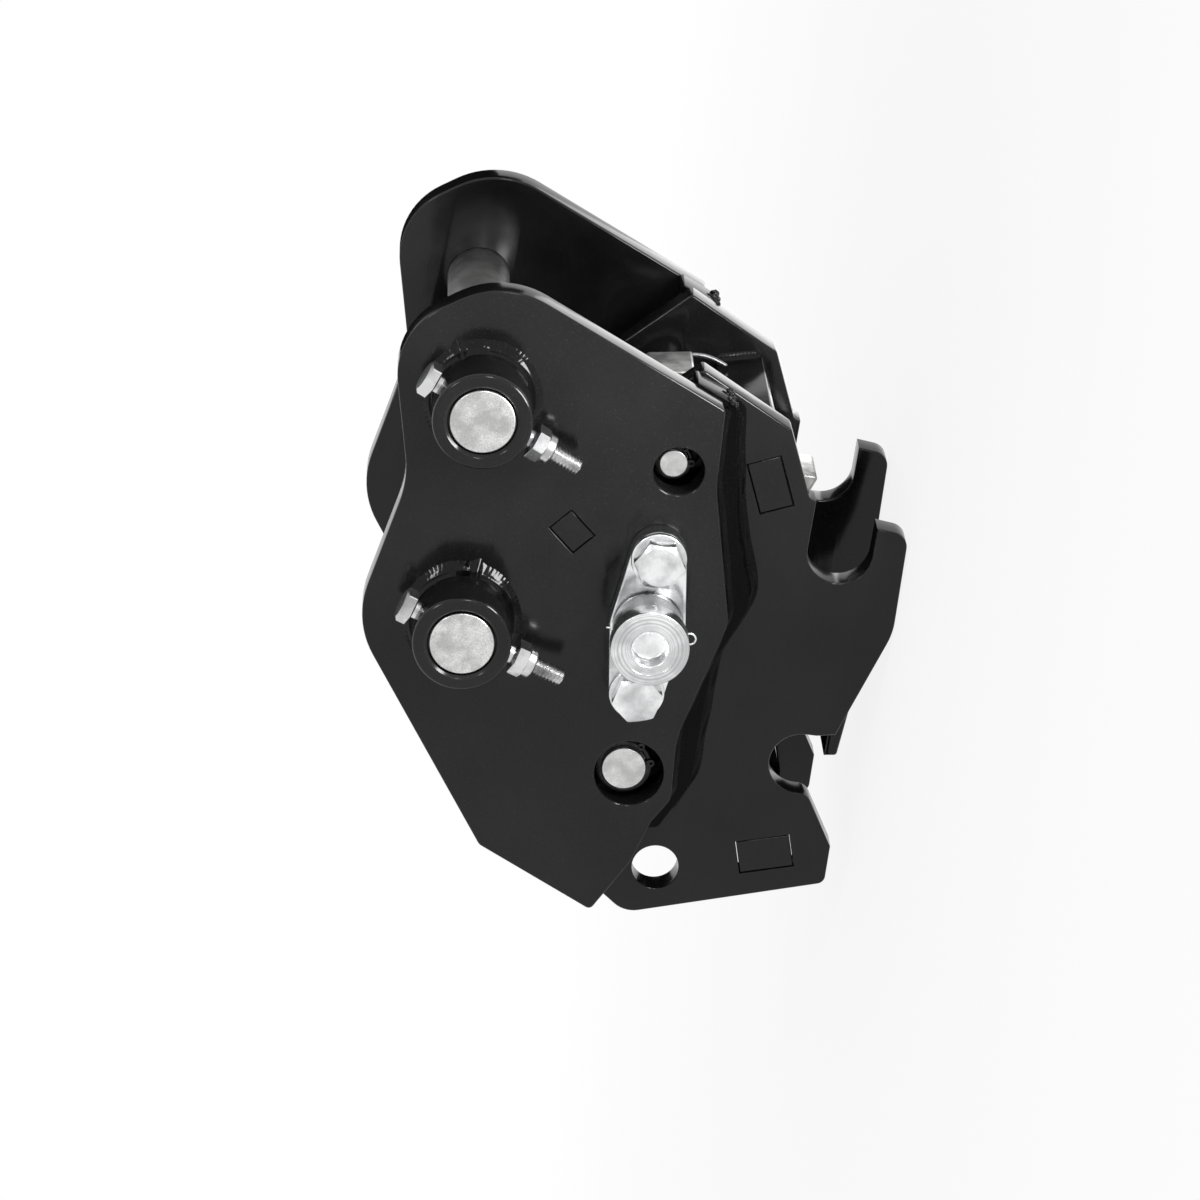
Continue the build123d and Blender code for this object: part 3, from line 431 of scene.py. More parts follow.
def plate(name, node, body, slot, finish, edge):
    """A whole prismatic node as a slab with softened edges."""
    near, far = levels(node)
    return piece(name, slab(face_loops(node, near), near, far, edge), body, slot, finish, node)


print("plate helpers are ready")

# %% [markdown]
# ### The four plates and their spacers
# The side plates take the arm's pins, and the hook plates take the bucket's. Between them lie
# curved spacer bars, which follow the side plates' lower edge and stand a little proud of it.

# %% Side plates, hook plates and spacer bars
PLATE_EDGE, SPACER_EDGE = 0.0011, 0.0005
for node in ("near_side_plate", "far_side_plate", "near_hook_plate", "far_hook_plate"):
    plate(f"painted_{node}", node, "frame", "black_paint", paint, PLATE_EDGE)
# The front end of each spacer bar is dressed to stand almost level with the hook plate's edge.
END_NORMAL, END_LEVEL, END_PROUD = np.array([0.913, -0.407]), 0.0585, 0.0012
for node in ("near_spacer_bar", "far_spacer_bar"):
    near, far = levels(node)
    outlines = [
        loop + END_PROUD * END_NORMAL * (loop @ END_NORMAL > END_LEVEL)[:, None]
        for loop in face_loops(node, near)
    ]
    bar = slab(outlines, near, far, SPACER_EDGE)
    # The spacer bars take the darker seam paint, as painted shade for the groove between the plates.
    piece(f"painted_{node}", bar, "frame", "black_paint", seam_paint_with_painted_shade, node)

# %% [markdown]
# ### Bars, shelf and front lock
# Square tabs of the cross bars end just below the plates' faces, which draws the small squares on
# the outside. The shelf closes the nose from above, and the front lock is a zinc-plated block
# that swings on its own pin.

# %% Bars, shelf and lock
BAR_EDGE, LOCK_EDGE = 0.0008, 0.0014
for node in ("nose_bar", "rear_bar", "centre_bar", "nose_shelf"):
    plate(f"painted_{node}", node, "frame", "black_paint", paint, BAR_EDGE)
# The lock's zinc is rougher, and its darker colour is painted shade.
plate("forged_front_lock", "front_lock", "lock", "zinc_plate", cast_zinc_with_painted_shade, LOCK_EDGE)

# %% [markdown]
# ## Turned pieces
# Pins, bosses, the hub and the washers come off a lathe. Each is a profile of radius and height
# carried round its axis: P(u, s) = origin + z(s) axis + r(s) (cos u, sin u). Softened corners
# in the profile catch the light the way a deburred edge does. RUNNING is the play between a bore
# and what turns in it.

# %% Surfaces of revolution
NEAR = np.array([0.0, -1.0, 0.0])
RUNNING = 0.00005


def axes(axis):
    """Two unit vectors at right angles to an axis and to each other."""
    axis = np.asarray(axis, float)
    helper = np.array([0.0, 0.0, 1.0]) if abs(axis[2]) < 0.9 else np.array([1.0, 0.0, 0.0])
    across = np.cross(helper, axis)
    across /= np.linalg.norm(across)
    return across, np.cross(axis, across)


def on_axis(origin, axis, radius, height, angle):
    """Points at a radius, height and angle about an axis, as one array."""
    across, up = axes(axis)
    ring = np.cos(angle)[..., None] * across + np.sin(angle)[..., None] * up
    return np.asarray(origin) + height[..., None] * np.asarray(axis) + radius[..., None] * ring


def turned(profile, origin, axis=NEAR, ring=False, segments=96, steps=5):
    """A profile of rows (radius, height, setback) turned about an axis; ring closes its ends."""
    line = soft_path(profile, steps)
    angle = np.linspace(0, TAU, segments, endpoint=False)
    radius, height, angle = np.broadcast_arrays(line[:, :1], line[:, 1:], angle[None])
    return wrapped(on_axis(origin, axis, radius, height, angle), close_rows=ring)


def centre_of(node):
    """The middle of a node's box in x and z, on the coupler's mid-plane."""
    low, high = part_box(node)
    return np.array([(low.x + high.x) / 2, 0.0, (low.z + high.z) / 2])


def rod(radius, low, high, chamfer, ease=0.0004):
    """Profile of a round bar with chamfered ends, from low to high along its axis."""
    return [
        (0, low, 0), (radius - chamfer, low, ease), (radius, low + chamfer, ease),
        (radius, high - chamfer, ease), (radius - chamfer, high, ease), (0, high, 0),
    ]


def tube_wall(inner, outer, low, high, bore_chamfer, rim_chamfer, ease=0.0004):
    """Profile of a tube whose low end is plain and whose high end is chamfered in and out."""
    return [
        (inner, low, 0), (outer, low, ease), (outer, high - rim_chamfer, ease),
        (outer - rim_chamfer, high, ease), (inner + bore_chamfer, high, ease),
        (inner, high - bore_chamfer, ease),
    ]


print("lathe helpers are ready")

# %% [markdown]
# ### Carrier pins and bosses
# Each carrier pin is a 35 mm bar through both side plates. A heavy boss holds it on the near
# side, and a low one on the far side. The boss's mouth is dished and the pin's end lies a little
# below it, which leaves the dark ring between the bright pin and the black boss.

# %% Carrier pins and bosses
PIN_R, PIN_CHAMFER, BOSS_R = 0.0175, 0.0007, 0.0265
BORE_R = PIN_R + RUNNING
MOUTH, MOUTH_DEEP, RIM = 0.0026, 0.002, 0.003
GAP, GAP_DEEP, PIN_SUNK = 0.0006, 0.0055, 0.001


def boss(low, high):
    """Profile of a carrier boss: a dished mouth, a gap round the pin, a rounded rim, a plain foot."""
    return [
        (BORE_R, low, 0), (BOSS_R, low, 0.0004), (BOSS_R, high, RIM),
        (BORE_R + MOUTH, high, 0.0007), (BORE_R + GAP, high - MOUTH_DEEP, 0.0006),
        (BORE_R + GAP, high - GAP_DEEP, 0), (BORE_R, high - GAP_DEEP, 0),
    ]


def pin_with_bosses(prefix, bar, wall, steps):
    """A pin of a given profile, and its near and far bosses, each a wall from its foot to its top."""
    middle = centre_of(f"{prefix}_pin")
    piece(
        f"grained_{prefix}_pin", [turned(bar, middle)],
        "frame", "pin_steel", turned_pin_steel(middle), f"{prefix}_pin",
    )
    for side, outward in (("near", NEAR), ("far", -NEAR)):
        node = f"{side}_{prefix}_boss"
        foot, top = sorted(abs(y) for y in levels(node))
        tube = turned(wall(foot, top), middle, outward, ring=True, steps=steps)
        piece(f"painted_{node}", [tube], "frame", "black_paint", paint, node)


for prefix in ("stick", "link"):
    near, far = levels(f"{prefix}_pin")
    bar = rod(PIN_R, -far, -near - PIN_SUNK, PIN_CHAMFER)
    pin_with_bosses(prefix, bar, boss, steps=10)

# %% [markdown]
# ### Pivot pins and their bosses
# The lock pin and the latch pin run out through tubes in the side plates' access holes. A circlip
# sits in a groove near each end, so the profile steps in there.

# %% Pivot pins, bosses and circlips
GROOVE_BACK, GROOVE_W, GROOVE_DEPTH = 0.0028, 0.0013, 0.0005
LOCK_PIN_R, LATCH_PIN_R, TUBE_CHAMFERS = 0.008, 0.0125, (0.0006, 0.0008)
CLIP_T, CLIP_EDGE = 0.0012, 0.00025


def grooved(radius, end, chamfer):
    """Profile of a bar with a chamfer and a circlip groove at each end."""
    inner, out = radius - GROOVE_DEPTH, end - GROOVE_BACK
    half = [
        (radius, out - GROOVE_W, 0), (inner, out - GROOVE_W, 0), (inner, out, 0),
        (radius, out, 0), (radius, end - chamfer, 0.0004), (radius - chamfer, end, 0.0004),
        (0, end, 0),
    ]
    mirrored = [(r, -z, ease) for r, z, ease in reversed(half)]
    return mirrored + half


for prefix, radius, chamfer in (("lock", LOCK_PIN_R, 0.0007), ("latch", LATCH_PIN_R, 0.0008)):
    low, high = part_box(f"near_{prefix}_boss")
    outer = (high.x - low.x) / 2
    pin_with_bosses(
        prefix, grooved(radius, levels(f"{prefix}_pin")[1], chamfer),
        lambda foot, top: tube_wall(radius + RUNNING, outer, foot, top, *TUBE_CHAMFERS), steps=5,
    )
    node = f"{prefix}_pin_circlips"
    near, far = levels(node)
    clip = face_loops(node, near)
    patches = slab(clip, near, near + CLIP_T, CLIP_EDGE, 3)
    patches += slab(clip, far - CLIP_T, far, CLIP_EDGE, 3)
    piece(f"sprung_{node}", patches, "frame", "spring_steel", clip_steel, node)

# %% [markdown]
# ## The release gear
# On the near side a rhombic bearing flange carries the release shaft. Its hub has a round socket
# with a coned bottom for the release bar, and a split pin keeps the hub on the shaft. All of it is
# bright zinc, and the hub's face is dished by a hair inside its rim.

# %% Bearing flange, its collar and spigot
shaft_axis = centre_of("release_shaft")
SHAFT_R = 0.0125
SHAFT_BORE_R = SHAFT_R + RUNNING
FLANGE_BACK, FLANGE_FACE, FLANGE_EDGE = 0.106, 0.118, 0.0012
COLLAR_OUTER_R, SPIGOT_R, SPIGOT_END = 0.0175, 0.016, 0.107
flange_outline = face_loops("bearing_flange", -FLANGE_FACE)
flange_patches = slab(flange_outline, -FLANGE_FACE, -FLANGE_BACK, FLANGE_EDGE)
flange_near, flange_far = levels("bearing_flange")
collar = tube_wall(SHAFT_BORE_R, COLLAR_OUTER_R, FLANGE_BACK, -flange_near, 0.0008, 0.0006)
spigot = tube_wall(SHAFT_BORE_R, SPIGOT_R, -flange_far, SPIGOT_END, 0.0003, 0.0003)
flange_patches += [turned(collar, shaft_axis, ring=True), turned(spigot, shaft_axis, ring=True)]
piece("zinc_bearing_flange", flange_patches, "frame", "zinc_plate", zinc, "bearing_flange")

# %% Release hub
hub_near, hub_far = levels("release_hub")
HUB_RIM_R, HUB_BODY_R, HUB_RIM_T = 0.021, 0.019, 0.012
SOCKET_R, SOCKET_WALL, SOCKET_DEEP, SOCKET_FLOOR_T = 0.00975, 0.0105, 0.015, 0.0003
DISH_R, DISH_DEEP, DISH_SLOPE = 0.0147, 0.00025, 0.0002
hub_face, hub_back = -hub_near, -hub_far
rim_back, dish, socket_end = hub_face - HUB_RIM_T, hub_face - DISH_DEEP, hub_face - SOCKET_DEEP
hub_profile = [
    (0, socket_end - SOCKET_FLOOR_T, 0), (SHAFT_BORE_R, socket_end - SOCKET_FLOOR_T, 0),
    (SHAFT_BORE_R, hub_back, 0), (HUB_BODY_R, hub_back, 0.0006), (HUB_BODY_R, rim_back, 0.0006),
    (HUB_RIM_R, rim_back, 0.0005), (HUB_RIM_R, hub_face, 0.0011),
    (DISH_R + DISH_SLOPE, hub_face, 0.0002), (DISH_R, dish, 0.0001),
    (SOCKET_R + 0.0007, dish, 0.0003), (SOCKET_R, hub_face - 0.001, 0.0003),
    (SOCKET_R, hub_face - SOCKET_WALL, 0.0008), (0, socket_end, 0),
]
turned_zinc = zinc_plate("turned_zinc", (0.6, 0.605, 0.61), (0.92, 0.925, 0.93), 0.16, shaft_axis)
piece(
    "zinc_release_hub", [turned(hub_profile, shaft_axis, segments=128)],
    "release", "zinc_plate", turned_zinc, "release_hub",
)

# %% [markdown]
# ### Hexagon heads
# A hexagon head is a turned shape whose radius changes with the angle: the apothem divided by the
# cosine of the angle to the nearest flat's middle. Cutting its corners with a cone gives the
# curved edges that every real bolt head has.

# %% Hexagon heads and washers


def hexagon(apothem, height, origin, axis, spin=0.0, segments=120):
    """A chamfered hexagon head: the side's top drops by the cone's slope where R(u) is larger."""
    angle = np.linspace(0, TAU, segments, endpoint=False)
    sector = np.mod(angle + spin + np.pi / 6, np.pi / 3) - np.pi / 6
    corner = apothem / np.cos(sector)
    flat = 0.9 * apothem
    rim = height - (corner - flat) * np.tan(np.radians(30))
    none = np.zeros_like(angle)
    radius = np.stack([none, corner - 0.0003, corner, corner, corner - 0.0002, flat + none, none])
    level = np.stack([
        none, none, none + 0.0003, rim - 0.0002, rim, height + none, height + none
    ])
    angle = np.broadcast_to(angle, radius.shape)
    return wrapped(on_axis(origin, axis, radius, level, angle))


def along(origin, axis, distance):
    """A point at a distance from an origin along an axis."""
    return np.asarray(origin, float) + distance * np.asarray(axis)


BOLT_OFFSET, BOLT_END, BOLT_R, BOLT_APOTHEM, BOLT_HEAD_H = 0.039, 0.091, 0.008, 0.012, 0.01
WASHER_FACE, WASHER_BORE_R, WASHER_R = 0.121, 0.0083, 0.015
bolt_patches, washer_patches = [], []
for side_step, spin in ((-BOLT_OFFSET, -17), (BOLT_OFFSET, 0)):
    bolt_axis = shaft_axis + np.array([side_step, 0.0, 0.0])
    head = along(bolt_axis, NEAR, WASHER_FACE)
    bolt_patches.append(hexagon(BOLT_APOTHEM, BOLT_HEAD_H, head, NEAR, spin=np.radians(spin)))
    bolt_patches.append(turned(rod(BOLT_R, BOLT_END, WASHER_FACE + 0.001, 0.001), bolt_axis))
    ring = tube_wall(WASHER_BORE_R, WASHER_R, FLANGE_FACE, WASHER_FACE, 0.0003, 0.0006)
    washer_patches.append(turned(ring, bolt_axis, ring=True))
piece("zinc_flange_bolts", bolt_patches, "frame", "zinc_plate", zinc, "flange_bolts", sharp=22)
piece("zinc_flange_washers", washer_patches, "frame", "zinc_plate", zinc, "flange_washers")

# %% [markdown]
# ### Cross bolts with real threads
# A thread is a screw surface: its radius is a zigzag of the height minus one pitch per turn. With
# 14 rows per pitch the crests and roots are crisp enough to catch light one by one.

# %% Cross bolts and lock nuts


def thread(radius, pitch, low, high, origin, axis, segments=40):
    """A threaded bar: r(u, z) = radius - depth |2 frac(z / pitch - u / turn) - 1|, tapered at its end."""
    depth = 0.52 * pitch
    z = np.linspace(low, high, int((high - low) / pitch * 14))[:, None]
    angle = np.linspace(0, TAU, segments, endpoint=False)[None]
    zigzag = np.abs(2 * np.mod(z / pitch - angle / TAU, 1) - 1)
    r = radius - depth * zigzag
    r = np.minimum(r, radius - depth + np.maximum(high - z, 0))
    height, angle = np.broadcast_arrays(z, angle)
    grid = on_axis(origin, axis, r, height, angle)
    ends = [along(origin, axis, low), along(origin, axis, high)]
    caps = [np.broadcast_to(end, (1, segments, 3)) for end in ends]
    return wrapped(np.concatenate([caps[0], grid, caps[1]]))


CROSS_R, CROSS_APOTHEM, CROSS_HEAD_H, CROSS_L = 0.005, 0.0085, 0.0064, 0.09
HEAD_FACE, HEAD_SEAT_R, THREAD_START, THREAD_PITCH = 0.0297, 0.0078, 0.0308, 0.002
NUT_SEAT, NUT_H, COLLAR_R, COLLAR_TOP, COLLAR_MOUTH_R = 0.0314, 0.0075, 0.0082, 0.0429, 0.0056
nut_patches = []
for prefix, degrees in (("stick", -114.3), ("link", -109.0)):
    lean = np.radians(degrees)
    axis = np.array([np.cos(lean), 0.0, np.sin(lean)])
    low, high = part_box(f"{prefix}_pin_bolt")
    origin = centre_of(f"{prefix}_pin") + np.array([0.0, (low.y + high.y) / 2, 0.0])
    shank = turned(rod(CROSS_R, -HEAD_FACE, THREAD_START, 0.0003), origin, axis, segments=48)
    threads = thread(CROSS_R, THREAD_PITCH, THREAD_START, CROSS_L - HEAD_FACE, origin, axis)
    seat = along(origin, axis, -HEAD_FACE)
    head = hexagon(CROSS_APOTHEM, CROSS_HEAD_H, seat, -axis, spin=np.pi / 6 + 0.12)
    collar = turned(rod(HEAD_SEAT_R, HEAD_FACE - 0.0004, HEAD_FACE + 0.0002, 0.0001), origin, -axis)
    # The bolt's darker zinc is painted shade.
    piece(
        f"zinc_{prefix}_pin_bolt", [shank, threads, head, collar],
        "frame", "zinc_plate", cross_zinc_with_painted_shade, f"{prefix}_pin_bolt", sharp=22,
    )
    seat = along(origin, axis, NUT_SEAT)
    nut_patches.append(hexagon(CROSS_APOTHEM, NUT_H, seat, axis, np.pi / 6 - 0.1))
    foot, sunk = NUT_SEAT + 0.001, COLLAR_TOP - 0.001
    neck = [
        (0, foot, 0), (COLLAR_R, foot, 0), (COLLAR_R, COLLAR_TOP, 0.0016),
        (COLLAR_MOUTH_R, COLLAR_TOP, 0.0004), (COLLAR_MOUTH_R, sunk, 0), (0, sunk, 0),
    ]
    nut_patches.append(turned(neck, origin, axis, segments=64))
piece("zinc_lock_nuts", nut_patches, "frame", "zinc_plate", cross_zinc_with_painted_shade, "cross_bolt_nuts", sharp=22)

# %% [markdown]
# ## Wire
# Springs and the split pin are wire: a small circle carried along a path. At each point of the
# path two vectors at right angles to it give the circle's plane, and the whole tube is computed
# in one step. No stretch of these paths runs along (1, 1, 1), so that direction can always serve
# as the helper that those two vectors are built from.

# %% Wire along a path


def wire(path, radius, sides=20):
    """A tube round a path: P(s, a) = C(s) + radius (cos a N(s) + sin a B(s)), closed at its ends."""
    run = np.gradient(path, axis=0)
    run /= np.linalg.norm(run, axis=1, keepdims=True)
    helper = np.ones(3) / np.sqrt(3)
    normal = helper - (run @ helper)[:, None] * run
    normal /= np.linalg.norm(normal, axis=1, keepdims=True)
    cross = np.cross(run, normal)
    angle = np.linspace(0, TAU, sides, endpoint=False)
    shape = np.cos(angle)[None, :, None] * normal[:, None] + np.sin(angle)[None, :, None] * cross[:, None]
    width = np.full(len(path), radius)
    width[[0, -1]] = 0.7 * radius
    tube = path[:, None] + width[:, None, None] * shape
    ends = [np.broadcast_to(path[k], (1, sides, 3)) for k in (0, -1)]
    return wrapped(np.concatenate([ends[0], tube, ends[1]]))


def even(path, spacing):
    """The same path with points a given distance apart, found by its running length."""
    step = np.linalg.norm(np.diff(path, axis=0), axis=1)
    keep = np.concatenate([[True], step > 1e-9])
    path = path[keep]
    length = np.concatenate([[0], np.cumsum(np.linalg.norm(np.diff(path, axis=0), axis=1))])
    at = np.linspace(0, length[-1], max(8, int(length[-1] / spacing)))
    return np.stack([np.interp(at, length, path[:, k]) for k in range(3)], 1)


def coil(centre, y, radius, pitch, turns, towards, start=0.0, per_turn=48):
    """A helix round an axis along Y: the angle grows evenly while y moves by a pitch per turn."""
    angle = start + np.linspace(0, TAU * turns, int(per_turn * turns) + 1)
    height = y + towards * pitch * (angle - start) / TAU
    return np.stack([centre[0] + radius * np.sin(angle), height, centre[2] + radius * np.cos(angle)], 1)


LATCH_WIRE_R, LATCH_PITCH, LATCH_TURNS, LATCH_COIL_START = 0.002, 0.0045, 4, 0.0283
low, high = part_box("latch_spring")
spring_r = (high.x - low.x) / 2 - LATCH_WIRE_R
top, coil_stop = shaft_axis[2] + spring_r, LATCH_COIL_START + LATCH_TURNS * LATCH_PITCH
turns = coil(shaft_axis, LATCH_COIL_START, spring_r, LATCH_PITCH, LATCH_TURNS, 1)
near_tang = [(shaft_axis[0], low.y, top, 0), (shaft_axis[0], LATCH_COIL_START, top, 0)]
far_tang = [(shaft_axis[0], coil_stop, top, 0), (shaft_axis[0], high.y, top, 0)]
path = np.concatenate([soft_path(near_tang), turns, soft_path(far_tang)])
piece(
    "oiled_latch_spring", [wire(even(path, 0.0009), LATCH_WIRE_R)],
    "frame", "spring_steel", spring_steel, "latch_spring",
)

# %% Lock spring, hooked over the shelf
low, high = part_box("lock_spring")
pivot = centre_of("lock_pin")
LOCK_COIL_R, LOCK_WIRE_R, LOCK_PITCH, LOCK_TURNS = 0.0122, 0.0013, 0.0031, 6.5
LOCK_COIL_START, HOOK_BEND, HOOK_ARCH, HOOK_REACH = 0.0181, 0.016, 0.0025, 0.0055
turns = coil(pivot, LOCK_COIL_START, LOCK_COIL_R, LOCK_PITCH, LOCK_TURNS, 1)
turns[:, 0] = 2 * pivot[0] - turns[:, 0]
leg_y = turns[-1, 1]
bottom = pivot[2] - LOCK_COIL_R
SHELF_REAR, SHELF_FRONT = np.array([-0.0172, -0.1363]), np.array([-0.0112, -0.1619])
down_shelf = (SHELF_FRONT - SHELF_REAR) / np.linalg.norm(SHELF_FRONT - SHELF_REAR)
off_shelf = np.array([-down_shelf[1], down_shelf[0]])
tip = SHELF_REAR + HOOK_REACH * down_shelf + (LOCK_WIRE_R + 0.0003) * off_shelf
top = pivot[2] + LOCK_COIL_R
tang = np.array([[pivot[0], low.y, top], [pivot[0], LOCK_COIL_START, top]])
bend = np.array([pivot[0] + HOOK_BEND, bottom])
arch = (bend + tip) / 2 + np.array([HOOK_ARCH, 0.0])
hook = soft_path([
    (pivot[0], leg_y, bottom, 0), (bend[0], leg_y, bend[1], 0.004),
    (arch[0], leg_y, arch[1], 0.006), (tip[0], leg_y, tip[1], 0),
])
path = np.concatenate([tang, turns, hook])
piece(
    "oiled_lock_spring", [wire(even(path, 0.0007), LOCK_WIRE_R)],
    "frame", "spring_steel", spring_steel, "lock_spring",
)

# %% Split pin, one wire bent double
pin_low, pin_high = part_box("split_pin")
split_y = (pin_low.y + pin_high.y) / 2
SPLIT_WIRE, SPLIT_HALF, EYE_R, EYE_Z = 0.00055, 0.0006, 0.0031, -0.0224
LONG_LEG, SHORT_LEG, LEG_FOOT = 0.0229, 0.0205, -0.0182
angle = np.radians(np.linspace(70, -250, 40))
eye_x, eye_z = EYE_R * np.cos(angle), EYE_Z + EYE_R * np.sin(angle)
legs = np.array([(SPLIT_HALF, LONG_LEG), (SPLIT_HALF, LEG_FOOT)])
back = np.array([(-SPLIT_HALF, LEG_FOOT), (-SPLIT_HALF, SHORT_LEG)])
line = np.concatenate([legs, np.stack([eye_x, eye_z], 1), back])
path = np.stack([
    shaft_axis[0] + line[:, 0], np.full(len(line), split_y), shaft_axis[2] + line[:, 1]
], 1)
piece(
    "zinc_split_pin", [wire(even(path, 0.0004), SPLIT_WIRE, 14)],
    "release", "zinc_plate", zinc, "split_pin",
)

# %% [markdown]
# ## Welds
# A fillet weld fills the corner between two faces with a bead that freezes in small overlapping
# ripples. Its section is a slightly crowned triangle, carried along the corner. The section's size
# rises and falls with the distance along the seam, once per ripple, and wanders slowly. Each ring
# has one lump, where the welder stopped.

# %% Weld beads along a corner


def bead(corner, side_a, side_b, leg, pitch=0.0026, closed=False, rows=15, lump=0.0, passes=3):
    """A fillet bead: P(s, v) = C(s) + size(s, v) crown(v) (cos v A + sin v B), v to a right angle.

    The size wanders slowly along s, ripples once per pitch and most at its toe, and has a shallow
    groove between each two passes. A lump, an array along s, swells it where a weld stopped.
    """
    step = np.linalg.norm(np.diff(corner, axis=0), axis=1)
    s = np.concatenate([[0], np.cumsum(step)])[:, None]
    v = np.linspace(0, np.pi / 2, rows)[None]
    wander = 0.05 * np.sin(s / 0.0131 + 1.3) + 0.035 * np.sin(s / 0.0047 + 2 * v)
    toe = 0.012 + 0.05 * np.exp(-((v / 0.2) ** 2))
    ripple = toe * np.sqrt(np.abs(np.sin(np.pi * (s / pitch + 0.35 * np.cos(2 * v)))))
    layers = 0.08 * np.abs(np.sin(passes * v + 0.12 * np.sin(s / 0.009)))
    size = leg * (0.9 + wander + ripple + layers + np.reshape(lump, (-1, 1)))
    if not closed:
        size = size * np.clip(np.minimum(s, s[-1] - s) / leg, 0, 1) ** 0.5
    crown = 1.0 / (np.cos(v) + np.sin(v)) ** 1.25
    radius = (size * crown)[..., None]
    out = radius * (np.cos(v)[..., None] * side_a[:, None] + np.sin(v)[..., None] * side_b[:, None])
    back = -0.0004 * (side_a + side_b)[:, None]
    return wrapped(corner[:, None] + np.concatenate([out, back], 1), close_rows=closed)


PLATE_OUT, RING_LEG, RIPPLES, LUMP, LUMP_WIDTH = 0.106, 0.0064, 72, 0.42, 0.075


def ring_bead(centre, radius, y, leg, outward, lump_at):
    """A bead round a boss, in the corner between its wall and the plate's face."""
    angle = np.linspace(0, TAU, 560, endpoint=False)
    away = np.stack([np.cos(angle), np.zeros_like(angle), np.sin(angle)], 1)
    up = np.broadcast_to(outward, away.shape)
    corner = centre + radius * away + np.array([0.0, y, 0.0])
    off = np.abs(np.mod(angle - np.radians(lump_at) + np.pi, TAU) - np.pi)
    lump = LUMP * np.exp(-((off / LUMP_WIDTH) ** 2))
    return bead(corner, away, up, leg, pitch=TAU * radius / RIPPLES, closed=True, lump=lump)


ring_patches = []
for prefix, lump_at in (("stick", 30), ("link", -8)):
    middle = centre_of(f"{prefix}_pin")
    ring_patches.append(ring_bead(middle, BOSS_R, -PLATE_OUT, RING_LEG, NEAR, lump_at))
    ring_patches.append(ring_bead(middle, BOSS_R, PLATE_OUT, RING_LEG, -NEAR, lump_at))
# The ring beads' darker pigment is painted shade.
piece("painted_boss_welds", ring_patches, "frame", "black_paint", weld_paint_with_painted_shade, "boss_welds")

# %% [markdown]
# ### The long seams
# Two seams run along each spacer bar: one where the side plate's edge meets it, and one where it
# meets the hook plate. Each follows the outline of a plate between two points.

# %% Seams along the spacer bars


def seam(node, start, stop, y, outward, leg):
    """A bead along the outer outline of a node, from the point nearest start to that nearest stop."""
    loop = max(face_loops(node, levels(node)[0]), key=len)
    first = np.argmin(((loop - start) ** 2).sum(1))
    loop = np.roll(loop, -first, 0)
    last = np.argmin(((loop - stop) ** 2).sum(1))
    run = loop[: last + 1]
    corner = even(np.stack([run[:, 0], np.full(len(run), y), run[:, 1]], 1), 0.0006)
    heading = np.gradient(corner, axis=0)
    away = np.cross(heading, [0.0, -1.0, 0.0])
    away /= np.linalg.norm(away, axis=1, keepdims=True)
    if away[len(away) // 2, 2] > 0:
        away = -away
    return bead(corner, away, np.broadcast_to(outward, away.shape), leg)


# The node whose outline a seam follows, its two ends, its distance from the mid-plane and its leg.
SEAMS = (
    ("side_plate", (-0.228, -0.1295), (0.0062, -0.1295), 0.09, 0.0042),
    ("spacer_bar", (-0.240, -0.1335), (0.0062, -0.1365), 0.07, 0.0065),
)
seam_patches = [
    seam(f"{prefix}_{node}", start, stop, sign * y, outward, leg)
    for prefix, outward, sign in (("near", NEAR, -1), ("far", -NEAR, 1))
    for node, start, stop, y, leg in SEAMS
]
# The seams' darker pigment is painted shade.
piece("painted_spacer_seams", seam_patches, "frame", "black_paint", seam_paint_with_painted_shade)

# %% Seams on the shelf, and tacks and small holes with bottoms of painted shade at the spacer bars' front ends


def straight(start, stop, side_a, side_b, leg):
    """A short bead between two points, between two given directions."""
    t = np.linspace(0, 1, 60)[:, None]
    corner = (1 - t) * np.asarray(start) + t * np.asarray(stop)
    spread_a, spread_b = (np.broadcast_to(v, corner.shape) for v in (side_a, side_b))
    return bead(corner, spread_a, spread_b, leg, pitch=0.0021)


def lumps(places, radii):
    """Small round drops of weld metal, each a sphere with a wavy radius."""
    u = np.linspace(0, TAU, 28, endpoint=False)[None]
    v = np.linspace(-np.pi / 2, np.pi / 2, 15)[:, None]
    patches = []
    for k, (place, radius) in enumerate(zip(places, radii)):
        r = radius * (1 + 0.2 * np.sin(3 * u + k) * np.cos(v))
        drop = np.stack([
            r * np.cos(v) * np.cos(u), r * np.cos(v) * np.sin(u), r * np.sin(v) * np.ones_like(u)
        ], -1)
        patches.append(wrapped(np.asarray(place) + drop))
    return patches


HOLE_LIP = [
    (0.00165, -0.0002, 0), (0.00215, -0.0002, 0.0001), (0.00205, 0.00022, 0.0001),
    (0.00165, 0.00012, 0),
]
# Each small hole is a lip round a flush disc of dull black; the disc is painted shade, in place of a real
# hole.
HOLE_SHADE_DISC = [(0, -0.0002, 0), (0.0017, -0.0002, 0), (0.0017, 0.00006, 0), (0, 0.00006, 0)]
HOOK_PLATE_IN, SPACER_MIDDLE, SHELF_LEG, HOLE_UP = 0.054, 0.08, 0.0036, 0.007
SPACER_FOOT, DROPS, DROP_SHIFT = np.array([0.0078, 0.0, -0.1352]), 22, 0.0008
DROP_SPAN, DROP_RAISE, DROP_R = (0.0915, 0.0695), (0.0003, 0.0045), (0.0008, 0.0017)
chance = np.random.default_rng(7)
shelf_patches, end_patches, hole_shade_patches = [], [], []
end_low, end_high = np.array([0.0077, -0.1355]), np.array([0.0185, -0.1109])
up_end = (end_high - end_low) / np.linalg.norm(end_high - end_low)
out_of_end = np.array([up_end[1], 0.0, -up_end[0]])
